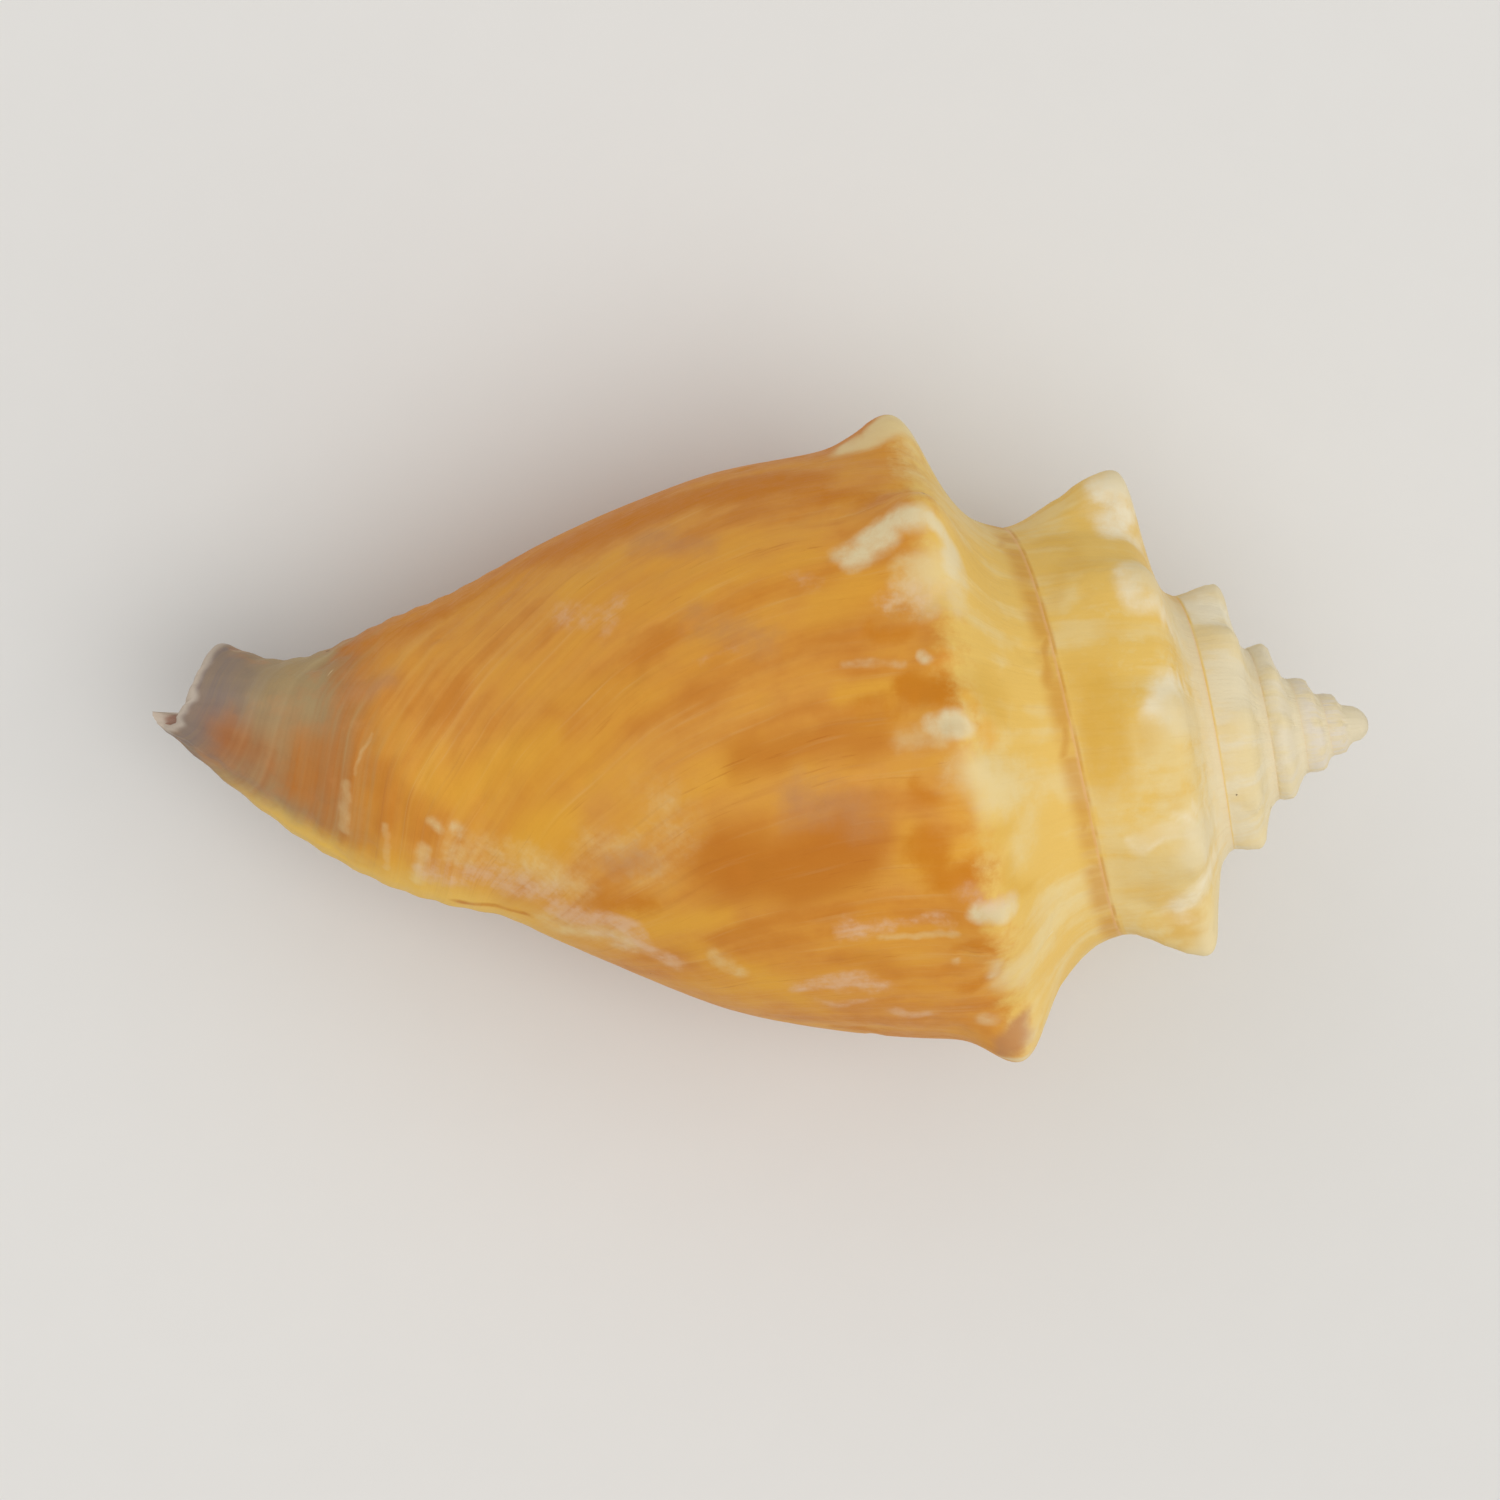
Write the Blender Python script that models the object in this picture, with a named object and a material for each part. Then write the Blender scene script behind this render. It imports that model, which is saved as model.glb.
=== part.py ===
"""Fighting conch shell, about 85 mm long, lying on its opening.

The shell is one tube that widens as it winds round an axis, so its form is worked
out in turns of that coil. Turn 0 is where the last suture (the seam between two
whorls) meets the shell's +Y side, and one turn less is one whorl nearer the apex.
A point of the shell is given by its turn, its distance along the axis from the
apex, and its distance out from the middle of the shell there. All lengths are in
millimetres until the mesh is made.
"""

import math

import bpy
import numpy as np
from mathutils import Matrix

MILLIMETRE = 0.001

# The coil
COLUMNS_PER_TURN = 72
SPINES_PER_TURN = 9
SPINE_TURN = -0.0056  # the turn of one spine's crest, from which the others are counted
FIRST_TURN = SPINE_TURN - 6.0
LIP_TURN = SPINE_TURN + 11 / COLUMNS_PER_TURN  # where the lip leaves the suture
LIP_START = SPINE_TURN  # columns past this turn spread out to reach the lip
SUTURE = (  # turn, distance along the axis, distance out
    (-6.2, 0.60, 0.72),
    (-5.0, 1.78, 1.52),
    (-4.0, 3.44, 2.42),
    (-3.0, 5.39, 3.66),
    (-2.0, 8.08, 5.98),
    (-1.5, 10.07, 7.82),
    (-1.0, 12.84, 10.12),
    (-0.5, 18.28, 13.08),
    (0.0, 24.27, 15.90),
    (0.2, 26.80, 17.00),
)
SHOULDER = (  # turn, how far the shoulder lies past the suture along and out
    (-6.2, 0.45, 0.35),
    (-5.0, 0.65, 0.80),
    (-4.0, 0.95, 1.15),
    (-3.0, 1.60, 2.40),
    (-2.0, 1.80, 3.60),
    (-1.5, 2.40, 4.70),
    (-1.0, 3.50, 5.60),
    (-0.5, 7.50, 6.10),
    (0.0, 7.00, 6.30),
    (0.2, 7.00, 6.20),
)
RAMP = ((0, 0), (0.2, 0.06), (0.45, 0.26), (0.7, 0.64), (0.88, 0.92), (1, 1))
SPIRE_CREST = ((0, 0), (0.35, 0.08), (0.52, 0.2), (0.62, 0.6), (0.7, 0.9), (0.82, 0.98), (1, 1))
BODY_CREST = ((0, 0), (0.3, 0.08), (0.5, 0.18), (0.68, 0.44), (0.8, 0.78), (0.9, 0.97), (1, 1))
SPINE_HEIGHT = (  # turn, how far a spine's crest stands out past the shoulder
    (-3.4, 0.0),
    (-2.5, 0.5),
    (-2.0, 1.2),
    (-1.5, 3.0),
    (-1.2, 2.8),
    (-1.0, 3.8),
    (-0.78, 1.8),
    (-0.67, 1.3),
    (-0.45, 3.0),
    (0.0, 2.7),
    (0.2, 1.2),
)
WORN_SPINES = {2: 0.55, 3: 0.45}  # spines counted back from SPINE_TURN, share of height left
SPINE_AHEAD_DEG = 12.0
SPINE_BEHIND_DEG = 18.0

# The body whorl, from the shoulder to the end of the canal
TIP_ALONG = 84.6
CORNER_ALONG = 79.7
LOW_SIDE = (  # share of the way to the end, share of the shoulder's distance out
    (0.0, 1.0),
    (0.05, 1.01),
    (0.13, 0.988),
    (0.233, 0.925),
    (0.335, 0.838),
    (0.437, 0.70),
    (0.54, 0.55),
    (0.616, 0.447),
    (0.667, 0.432),
    (0.72, 0.407),
    (0.82, 0.309),
    (0.92, 0.18),
    (1.0, 0.015),
)
HIGH_SIDE = (
    (0.0, 1.0),
    (0.045, 1.01),
    (0.138, 0.998),
    (0.262, 0.971),
    (0.386, 0.89),
    (0.51, 0.782),
    (0.634, 0.643),
    (0.758, 0.498),
    (0.882, 0.332),
    (0.944, 0.287),
    (1.0, 0.277),
)
CANAL_BEND = (  # how far the middle of the shell leaves the axis, towards +Y
    (0.0, 0.0),
    (45.0, 0.0),
    (54.0, 0.35),
    (62.0, 0.9),
    (68.0, 2.1),
    (74.0, 3.8),
    (80.0, 6.5),
    (84.6, 8.3),
)
LIP_BEARING = (  # share of the way to the end, degrees the edge runs on past LIP_TURN
    (0.0, 0.0),
    (0.3, 0.0),
    (0.65, -2.0),
    (0.82, -9.0),
    (1.0, -44.0),
)
LIP_CURL = 1.4  # how far the lip bends inwards along its middle
CALLUS = 2.5
CALLUS_TURN = -0.68
CALLUS_TURNS = 0.22
CALLUS_REACH = 1.25  # it fades out at this inverse share of the way to the end
SIDE_BEND = 0.15  # half turns over which one side's outline hands over to the other
COLUMELLA_HALF_TURNS = 1.2  # how soon the taper is full past the -Y side
SPIRE_BULGE = 0.02
SPIRE_SIDE_POWER = 1.3
SPINE_FOOT = 7.6  # how far a spine's ridge runs down the body
SPINE_FOOT_SHARE = 0.95  # and on small whorls, as a share of the way to the next suture
LINE_PAST_LIP = 12.0  # per turn, how fast the seam's line would run on past the lip

# The hollow
WALL = 1.5
LIP_WALL = 1.0
LIP_WALL_SHARE = 6.0  # the wall thickens over this inverse share of the way in
HOLLOW_DEG = ((0.0, 250.0), (0.5, 250.0), (0.8, 190.0), (1.0, 130.0))
COLUMELLA_TAPER = ((0.0, 0.0), (0.5, 0.0), (0.75, 0.35), (1.0, 0.5))
ROOF_SHARE = 0.6  # how far down the ramp the hollow's roof lies
ROOF_ROUND = 6.0
ROOF_EDGE = 0.02
LEAST_GAP = 0.4
CLOSING = 0.85  # how nearly the two sides of the hollow meet at its inner end
HOLLOW_ROWS = 14
HOLLOW_STEPS = 20

# How the shell lies
AXIS_YAW_DEG = 5.0
AXIS_PITCH_DEG = -7.3
AXIS_ROLL_DEG = 1.4

COLOUR = (0.60, 0.27, 0.06, 1.0)


def smooth_curve(points):
    """A function that runs smoothly through the points and never overshoots them."""
    x, y = (np.array(values, float) for values in zip(*points))
    step = np.diff(x)
    rise = np.diff(y) / step
    slope = np.zeros_like(x)
    slope[0], slope[-1] = rise[0], rise[-1]
    same_way = rise[1:] * rise[:-1] > 0
    first, second = rise[:-1][same_way], rise[1:][same_way]
    slope[1:-1][same_way] = 2 * first * second / (first + second)

    def value(at):
        at = np.clip(at, x[0], x[-1])
        k = np.clip(np.searchsorted(x, at, side="right") - 1, 0, len(step) - 1)
        t = (at - x[k]) / step[k]
        start = (1 + 2 * t) * (1 - t) ** 2 * y[k] + t * (1 - t) ** 2 * step[k] * slope[k]
        end = t**2 * (3 - 2 * t) * y[k + 1] - t**2 * (1 - t) * step[k] * slope[k + 1]
        return start + end

    return value


suture_along_log = smooth_curve([(turn, math.log(along)) for turn, along, _ in SUTURE])
suture_out_log = smooth_curve([(turn, math.log(out)) for turn, _, out in SUTURE])
shoulder_past = smooth_curve([(turn, past) for turn, past, _ in SHOULDER])
shoulder_rise = smooth_curve([(turn, rise) for turn, _, rise in SHOULDER])
ramp = smooth_curve(RAMP)
spire_crest = smooth_curve(SPIRE_CREST)
body_crest = smooth_curve(BODY_CREST)
spine_height = smooth_curve(SPINE_HEIGHT)
low_side = smooth_curve(LOW_SIDE)
high_side = smooth_curve(HIGH_SIDE)
canal_bend = smooth_curve(CANAL_BEND)
lip_bearing = smooth_curve(LIP_BEARING)
hollow_deg = smooth_curve(HOLLOW_DEG)
columella_taper = smooth_curve(COLUMELLA_TAPER)


def suture(turn):
    return np.exp(suture_along_log(turn)), np.exp(suture_out_log(turn))


def shoulder(turn):
    along, out = suture(turn)
    return along + shoulder_past(turn), out + shoulder_rise(turn)


def half_turns(turn):
    """Half turns past the -Y side of the last whorl: 0 there and 1 on its +Y side."""
    return 2 * turn + 1


def side_mix(turn):
    """0 where the low side's outline holds and 1 where the high side's does."""
    w = half_turns(turn)
    soft = 0.5 * (w + np.sqrt(w * w + SIDE_BEND**2))
    at_low = 0.5 * SIDE_BEND
    at_high = 0.5 * (1 + math.sqrt(1 + SIDE_BEND**2))
    return (soft - at_low) / (at_high - at_low)


def end_along(turn):
    """Where the last whorl ends: the tip on the low side, the lip's corner on the high."""
    w = np.clip(half_turns(turn), 0, 2)
    return CORNER_ALONG + (TIP_ALONG - CORNER_ALONG) * np.sin(0.5 * math.pi * (1 - w))


def body_side(turn, along):
    """The last whorl's distance out below its shoulder, without spines."""
    shoulder_along, shoulder_out = shoulder(turn)
    share = (along - shoulder_along) / (end_along(turn) - shoulder_along)
    mix = side_mix(turn)
    factor = low_side(share) + mix * (high_side(share) - low_side(share))
    inner = np.clip(-half_turns(turn), 0, COLUMELLA_HALF_TURNS)
    plain = shoulder_out * factor * (1 - columella_taper(share) * inner)
    curl = LIP_CURL * lip_nearness(turn) ** 2 * np.sin(math.pi * share)
    return plain + callus(turn, share) - curl


def callus(turn, share):
    """The glaze that thickens the underside beside the opening."""
    around = np.clip(1 - np.abs(turn - CALLUS_TURN) / CALLUS_TURNS, 0, 1)
    down = np.sin(math.pi * np.clip(share * CALLUS_REACH, 0, 1))
    return CALLUS * np.sin(0.5 * math.pi * around) ** 2 * down


def lip_nearness(turn):
    return np.clip((turn - LIP_START) / (LIP_TURN - LIP_START), 0, 1.2)


def spire_side(turn, along):
    """An earlier whorl's distance out between its shoulder and the next suture."""
    shoulder_along, shoulder_out = shoulder(turn)
    next_along, next_out = suture(turn + 1)
    share = np.clip((along - shoulder_along) / (next_along - shoulder_along), 0, 1)
    bulge = SPIRE_BULGE * shoulder_out * np.sin(math.pi * share)
    return shoulder_out + (next_out - shoulder_out) * share**SPIRE_SIDE_POWER + bulge


def spine_share(turn):
    """How much of a spine stands at this turn: 1 on its crest, 0 between two spines."""
    count = np.round((SPINE_TURN - turn) * SPINES_PER_TURN)
    degrees = 360 * (turn - (SPINE_TURN - count / SPINES_PER_TURN))
    reach = np.where(degrees > 0, SPINE_AHEAD_DEG, SPINE_BEHIND_DEG)
    share = np.cos(0.5 * math.pi * np.minimum(np.abs(degrees) / reach, 1)) ** 2
    for spine, left in WORN_SPINES.items():
        share = np.where(count == spine, share * left, share)
    return share


def whorl_point(turn, station, last):
    """(along, out) at a station of the profile.

    Station 0 to 1 is the ramp from the suture to the shoulder, 1 to 2 runs on to the
    next suture, or its line carried on round the last whorl, and 2 to 3 to the end.
    """
    seam_along, seam_out = suture(turn)
    shoulder_along, shoulder_out = shoulder(turn)
    height = spine_share(turn) * spine_height(turn)
    next_along = next_line(turn)
    if station <= 1:
        along = seam_along + (shoulder_along - seam_along) * station
        plain = seam_out + (shoulder_out - seam_out) * ramp(station)
        body = np.clip(2 * turn + 2, 0, 1)
        steep = spire_crest(station) + body * (body_crest(station) - spire_crest(station))
        raised = seam_out + (shoulder_out - seam_out + spine_height(turn)) * steep
        return along, plain + spine_share(turn) * (raised - plain)
    if station <= 2:
        along = shoulder_along + (next_along - shoulder_along) * (station - 1)
    else:
        along = next_along + (end_along(turn) - next_along) * (station - 2)
    out = body_side(turn, along) if last else spire_side(turn, along)
    reach = np.minimum(SPINE_FOOT_SHARE * (next_along - shoulder_along), SPINE_FOOT)
    fall = 0.5 + 0.5 * np.cos(math.pi * np.clip((along - shoulder_along) / reach, 0, 1))
    return along, out + height * fall


def next_line(turn):
    """The next suture's distance along, carried on evenly past the lip."""
    carried = np.maximum(turn + 1 - LIP_TURN, 0)
    return np.exp(suture_along_log(np.minimum(turn + 1, LIP_TURN))) + LINE_PAST_LIP * carried


def place(turn, along, out):
    """The point in millimetres, with the axis along -X before the shell is laid down."""
    bearing = math.tau * (turn + 0.25)
    return np.array((-along, canal_bend(along) + out * math.sin(bearing), out * math.cos(bearing)))


class ShellMesh:
    """Points and triangles, built from columns of points."""

    def __init__(self):
        self.points = []
        self.triangles = []

    def add(self, point):
        self.points.append(point)
        return len(self.points) - 1

    def zip(self, left, right):
        """Fills the band between two rows of points, which may differ in number."""
        i, j = 0, 0
        while i < len(left) - 1 or j < len(right) - 1:
            next_left = (i + 1) / max(len(left) - 1, 1)
            next_right = (j + 1) / max(len(right) - 1, 1)
            if j == len(right) - 1 or (i < len(left) - 1 and next_left <= next_right):
                self.triangle(left[i], left[i + 1], right[j])
                i += 1
            else:
                self.triangle(left[i], right[j + 1], right[j])
                j += 1

    def triangle(self, a, b, c):
        if len({a, b, c}) == 3:
            self.triangles.append((c, b, a))


def stations_of(turn):
    """The stations of a column that ends at the next suture, fewer on small whorls."""
    if turn < -5:
        return [0.0, 1.0]
    if turn < -3:
        return [0.0, 0.6, 1.0]
    if turn < -2:
        return [0.0, 0.5, 0.8, 1.0, 1.5]
    if turn < -1.15:
        return [0.0, 0.3, 0.5, 0.65, 0.82, 1.0, 1.3, 1.65]
    return [0.0, 0.22, 0.4, 0.54, 0.66, 0.78, 0.9, 1.0, 1.15, 1.4, 1.7]


LOWER_STATIONS = [2.0 + step / 16 for step in range(17)]


def lip_turn(share):
    return LIP_TURN + lip_bearing(share) / 360


def grown_turn(turn, share):
    """The turn of a column at this share of the profile, spread out towards the lip."""
    if turn <= LIP_START:
        return turn
    spread = (turn - LIP_START) / (LIP_TURN - LIP_START)
    return LIP_START + spread * (lip_turn(share) - LIP_START)


def profile_share(station):
    """0 at the suture and 1 at the end of the canal."""
    return np.clip((station - 0.5) / 2.5, 0, 1)


def outside(mesh):
    """The outer skin. Returns its last whorl's columns, from under the lip to the lip."""
    last_column = round((LIP_TURN - FIRST_TURN) * COLUMNS_PER_TURN)
    body_column = last_column - COLUMNS_PER_TURN
    turns = [FIRST_TURN + c / COLUMNS_PER_TURN for c in range(last_column + 1)]
    columns = []
    for c, turn in enumerate(turns):
        last = c >= body_column
        column = []
        for station in stations_of(turn):
            at = grown_turn(turn, profile_share(station))
            column.append(mesh.add(place(at, *whorl_point(at, station, last))))
        columns.append(column)
    for c in range(body_column + 1):
        columns[c].append(columns[c + COLUMNS_PER_TURN][0])
    for c in range(body_column, last_column + 1):
        for station in LOWER_STATIONS[1 if c == body_column else 0 :]:
            at = grown_turn(turns[c], profile_share(station))
            columns[c].append(mesh.add(place(at, *whorl_point(at, station, True))))
    for c in range(last_column):
        left, right = columns[c], columns[c + 1]
        if c + 1 <= body_column:
            right = right[: len(stations_of(turns[c + 1])) + 1]
        mesh.zip(left, right)
    close_apex(mesh, columns)
    return columns[body_column:], turns[body_column:]


def close_apex(mesh, columns):
    top = mesh.add(np.array((0.0, 0.0, 0.0)))
    rim = [columns[c][0] for c in range(COLUMNS_PER_TURN + 1)]
    rim += columns[0][-2:0:-1]
    for a, b in zip(rim, rim[1:] + rim[:1]):
        mesh.triangle(a, b, top)


def hollow(mesh, columns, turns):
    """The hollow behind the opening, the lip's edge and the canal's rim."""
    first, lip = columns[0], columns[-1]
    seam = len(stations_of(turns[0]))
    inner_mouth = first[seam + 1 :]
    outer_sheet, inner_sheet = [], []
    for step in range(HOLLOW_STEPS + 1):
        share_in = step / HOLLOW_STEPS
        downs = [row / HOLLOW_ROWS for row in range(HOLLOW_ROWS + 1)]
        outer_sheet.append([mesh.add(hollow_point(share_in, down, True)) for down in downs])
        if step == 0:
            inner_sheet.append(inner_mouth)
        else:
            inner_sheet.append([mesh.add(hollow_point(share_in, down, False)) for down in downs])
    mesh.zip(lip, [inner_mouth[0]] + outer_sheet[0])
    for step in range(HOLLOW_STEPS):
        mesh.zip(outer_sheet[step], outer_sheet[step + 1])
        mesh.zip(inner_sheet[step + 1], inner_sheet[step])
        mesh.zip(
            [outer_sheet[step][0], outer_sheet[step + 1][0]],
            [inner_sheet[step][0], inner_sheet[step + 1][0]],
        )
    mesh.zip(outer_sheet[-1], inner_sheet[-1])
    rim_back = back_column(turns)
    rim = [column[-1] for column in columns]
    mesh.zip([sheet[-1] for sheet in outer_sheet][::-1], rim[rim_back:])
    mesh.zip([sheet[-1] for sheet in inner_sheet], rim[: rim_back + 1] + [outer_sheet[-1][-1]])


def back_column(turns):
    """The column over the inner end of the canal."""
    back = lip_turn(1.0) - hollow_deg(1.0) / 360
    return int(np.argmin([abs(turn - back) for turn in turns]))


def hollow_point(share_in, share_down, outer):
    """A point of the hollow: share_in goes from the mouth inwards."""
    turn = lip_turn(share_down) - share_in * hollow_deg(share_down) / 360
    seam_along, _ = suture(turn)
    roof = seam_along + ROOF_SHARE * shoulder_past(turn)
    end = end_along(turn)
    along = roof + (end - roof) * share_down
    wall = LIP_WALL + (WALL - LIP_WALL) * min(share_in * LIP_WALL_SHARE, 1)
    core = body_side(turn - 1, along)
    full = np.maximum(body_side(turn, np.maximum(along, shoulder(turn)[0])) - wall, 0)
    core = min(core, full - LEAST_GAP)
    arch = math.sqrt(1 - (1 - min((along - roof) / ROOF_ROUND + ROOF_EDGE, 1)) ** 2)
    top = core + (full - core) * arch
    if outer:
        return place(turn, along, top)
    return place(turn, along, core + (top - core) * CLOSING * share_in**3)


def lay_down(points):
    """Turns the shell as it rests and puts the middle of its underside at the origin."""
    turned = Matrix.Rotation(math.radians(AXIS_YAW_DEG), 3, "Z")
    turned = turned @ Matrix.Rotation(math.radians(AXIS_PITCH_DEG), 3, "Y")
    turned = turned @ Matrix.Rotation(math.radians(AXIS_ROLL_DEG), 3, "X")
    points = points @ np.array(turned).T
    low, high = points.min(axis=0), points.max(axis=0)
    return points - np.array(((low[0] + high[0]) / 2, (low[1] + high[1]) / 2, low[2]))


def main():
    for obj in list(bpy.data.objects):
        bpy.data.objects.remove(obj)
    shell = ShellMesh()
    columns, turns = outside(shell)
    hollow(shell, columns, turns)
    points = lay_down(np.array(shell.points)) * MILLIMETRE
    mesh = bpy.data.meshes.new("conch_shell")
    mesh.from_pydata(points.tolist(), [], shell.triangles)
    obj = bpy.data.objects.new("conch_shell", mesh)
    bpy.context.scene.collection.objects.link(obj)
    mesh.shade_smooth()
    mesh.set_sharp_from_angle(angle=math.radians(50))
    material = bpy.data.materials.new("shell")
    material.use_nodes = True
    shader = material.node_tree.nodes["Principled BSDF"]
    shader.inputs["Base Color"].default_value = COLOUR
    shader.inputs["Roughness"].default_value = 0.4
    mesh.materials.append(material)


main()
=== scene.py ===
"""A fighting conch shell lying on its aperture, on a pale floor.

The shell is worked out as the coil that it grows in: a profile that widens as it winds
round the axis. Python draws the profile's sheet unrolled, as turn, distance along the
axis and distance out, and a Geometry Nodes tree winds it up and raises its fine relief.
"""

import math

import bpy
import numpy as np
from mathutils import Matrix, Vector


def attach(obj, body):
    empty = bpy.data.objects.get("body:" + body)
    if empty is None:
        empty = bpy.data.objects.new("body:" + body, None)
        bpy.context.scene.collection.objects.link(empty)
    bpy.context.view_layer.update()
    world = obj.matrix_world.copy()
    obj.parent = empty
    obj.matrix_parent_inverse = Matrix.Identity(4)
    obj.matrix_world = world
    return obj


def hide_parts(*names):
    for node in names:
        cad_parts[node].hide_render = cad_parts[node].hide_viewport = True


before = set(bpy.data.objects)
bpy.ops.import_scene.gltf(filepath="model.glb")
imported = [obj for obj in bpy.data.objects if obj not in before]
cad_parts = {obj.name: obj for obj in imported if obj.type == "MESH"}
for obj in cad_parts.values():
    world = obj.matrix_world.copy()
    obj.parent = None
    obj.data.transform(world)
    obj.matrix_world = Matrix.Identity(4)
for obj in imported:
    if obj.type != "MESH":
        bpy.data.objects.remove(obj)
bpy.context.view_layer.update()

bl_info = {
    "name": "Fighting Conch Shell",
    "version": (1, 0, 0),
    "blender": (4, 5, 0),
    "location": "3D View > Sidebar > Conch Shell",
    "description": "Builds a fighting conch shell with its relief and colours",
    "category": "Add Mesh",
}

MILLIMETRE = 0.001
SOLID = "conch_shell"

# ---------------------------------------------------------------- the coil, in millimetres

# A turn of 0 is at the bearing of 90 degrees on the last whorl, and earlier turns are below 0.
SPINES_PER_TURN = 9
SPINE_TURN = -0.0056  # where a spine stands, from which the others are counted
FIRST_TURN = SPINE_TURN - 6.0
LIP_TURN = SPINE_TURN + 11 / 72
LIP_START = SPINE_TURN  # where the profile begins to lean over to the lip's edge
SUTURE = (  # turn, distance along the axis, distance out
    (-6.2, 0.60, 0.72),
    (-5.0, 1.78, 1.52),
    (-4.0, 3.44, 2.42),
    (-3.0, 5.39, 3.66),
    (-2.0, 8.08, 5.98),
    (-1.5, 10.07, 7.82),
    (-1.0, 12.84, 10.12),
    (-0.5, 18.28, 13.08),
    (0.0, 24.27, 15.90),
    (0.2, 26.80, 17.00),
)
SHOULDER = (  # turn, how far the shoulder lies past the suture along and out
    (-6.2, 0.45, 0.35),
    (-5.0, 0.65, 0.80),
    (-4.0, 0.95, 1.15),
    (-3.0, 1.60, 2.40),
    (-2.0, 1.80, 3.60),
    (-1.5, 2.40, 4.70),
    (-1.0, 3.50, 5.60),
    (-0.5, 7.50, 6.10),
    (0.0, 7.00, 6.30),
    (0.2, 7.00, 6.20),
)
# The profile from the suture to the shoulder, as shares of the way along and out: the ramp
# between two spines, then up a spine's crest on the spire and on the last whorl
RAMP = ((0, 0), (0.2, 0.06), (0.45, 0.26), (0.7, 0.64), (0.88, 0.92), (1, 1))
SPIRE_CREST = ((0, 0), (0.35, 0.08), (0.52, 0.2), (0.62, 0.6), (0.7, 0.9), (0.82, 0.98), (1, 1))
BODY_CREST = ((0, 0), (0.3, 0.08), (0.5, 0.18), (0.68, 0.44), (0.8, 0.78), (0.9, 0.97), (1, 1))
SPINE_HEIGHT = (  # turn, how far a spine's crest stands out past the shoulder
    (-3.4, 0.0),
    (-2.5, 0.5),
    (-2.0, 1.2),
    (-1.5, 3.0),
    (-1.2, 2.8),
    (-1.0, 3.8),
    (-0.78, 1.8),
    (-0.67, 1.3),
    (-0.45, 3.0),
    (0.0, 2.7),
    (0.2, 1.2),
)
WORN_SPINES = {  # spines counted back from SPINE_TURN, share of height left
    2: 0.55, 3: 0.45, 10: 0.3, 11: 0.35, 12: 0.5, 19: 0.6, 20: 0.5, 21: 0.6,
}
SPINE_AHEAD_DEG = 12.0  # how far a spine reaches towards the lip
SPINE_BEHIND_DEG = 18.0
TIP_ALONG = 84.6  # the canal's furthest point
CORNER_ALONG = 79.7  # where the canal's end meets its other side

# The last whorl's side at its lower and its upper outline, as share of the way from the
# shoulder to the end and share of the shoulder's distance out
LOW_SIDE = (
    (0.0, 1.0),
    (0.05, 1.01),
    (0.13, 0.988),
    (0.233, 0.925),
    (0.335, 0.838),
    (0.437, 0.70),
    (0.54, 0.55),
    (0.616, 0.447),
    (0.667, 0.432),
    (0.72, 0.407),
    (0.82, 0.309),
    (0.92, 0.18),
    (1.0, 0.015),
)
HIGH_SIDE = (
    (0.0, 1.0),
    (0.045, 1.01),
    (0.138, 0.998),
    (0.262, 0.971),
    (0.386, 0.89),
    (0.51, 0.782),
    (0.634, 0.643),
    (0.758, 0.498),
    (0.882, 0.332),
    (0.944, 0.287),
    (1.0, 0.277),
)
CANAL_BEND = (  # how far the middle of the shell leaves the axis, towards +Y
    (0.0, 0.0),
    (45.0, 0.0),
    (54.0, 0.35),
    (62.0, 0.9),
    (68.0, 2.1),
    (74.0, 3.8),
    (80.0, 6.5),
    (84.6, 8.3),
)
LIP_BEARING = (  # share of the way down the lip, degrees its edge lies ahead
    (0.0, 0.0), (0.3, 0.0), (0.65, -2.0), (0.82, -9.0), (1.0, -44.0),
)
LIP_CURL = 1.4  # how far the lip is turned in
CALLUS = 2.5  # how thick the underside's glaze is, in its middle
CALLUS_TURN = -0.68
CALLUS_TURNS = 0.22  # from the glaze's middle to its edge
CALLUS_REACH = 1.25  # the glaze ends at the inverse of this share of the way down
SIDE_BEND = 0.15  # how softly the lower side runs into the upper one
COLUMELLA_HALF_TURNS = 1.2  # how long the inner turn goes on getting slimmer
SPIRE_BULGE = 0.02
SPIRE_SIDE_POWER = 1.3
SPINE_FOOT = 7.6  # how far a spine runs down the side below the shoulder
SPINE_FOOT_SHARE = 0.95  # and at most this share of the way to the next suture
LINE_PAST_LIP = 12.0  # how much the next suture's line moves along in a turn past the lip
WALL = 1.5
LIP_WALL = 1.0
LIP_WALL_SHARE = 6.0  # the wall is whole after the inverse of this share of the hollow
CANAL_THINNING = 0.5  # how much thinner the wall is at the canal's end
HOLLOW_DEG = (  # share of the way down, degrees that the hollow winds back
    (0.0, 250.0), (0.5, 250.0), (0.8, 190.0), (1.0, 130.0),
)
COLUMELLA_TAPER = (  # share of the way down, how much slimmer the inner turn gets
    (0.0, 0.0), (0.5, 0.0), (0.75, 0.35), (1.0, 0.5),
)
ROOF_SHARE = 0.6  # the hollow's roof, as a share of the ramp
ROOF_ROUND = 6.0  # how far down the roof's arch reaches
ROOF_EDGE = 0.02  # keeps the arch from closing to nothing
LEAST_GAP = 0.4  # between the hollow's core and its outer side
CLOSING = 0.85  # how much the hollow closes at its inner end
AXIS_DEG = (1.4, -7.3, 5.0)  # how the axis lies: roll, pitch and yaw
APEX_AT = (42.1744, 0.9024, 22.3044)  # the apex of the shell at rest on z = 0
SHOULDER_ROUNDS = 14  # passes that round the shoulder
EDGE_STEPS = 4  # bands round the edge of the lip and the canal
EDGE_SWELL = 0.3  # how far that edge swells out
APEX_RINGS = (0.9, 0.75, 0.55, 0.3)  # rings that close the apex, as shares of its width
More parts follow.
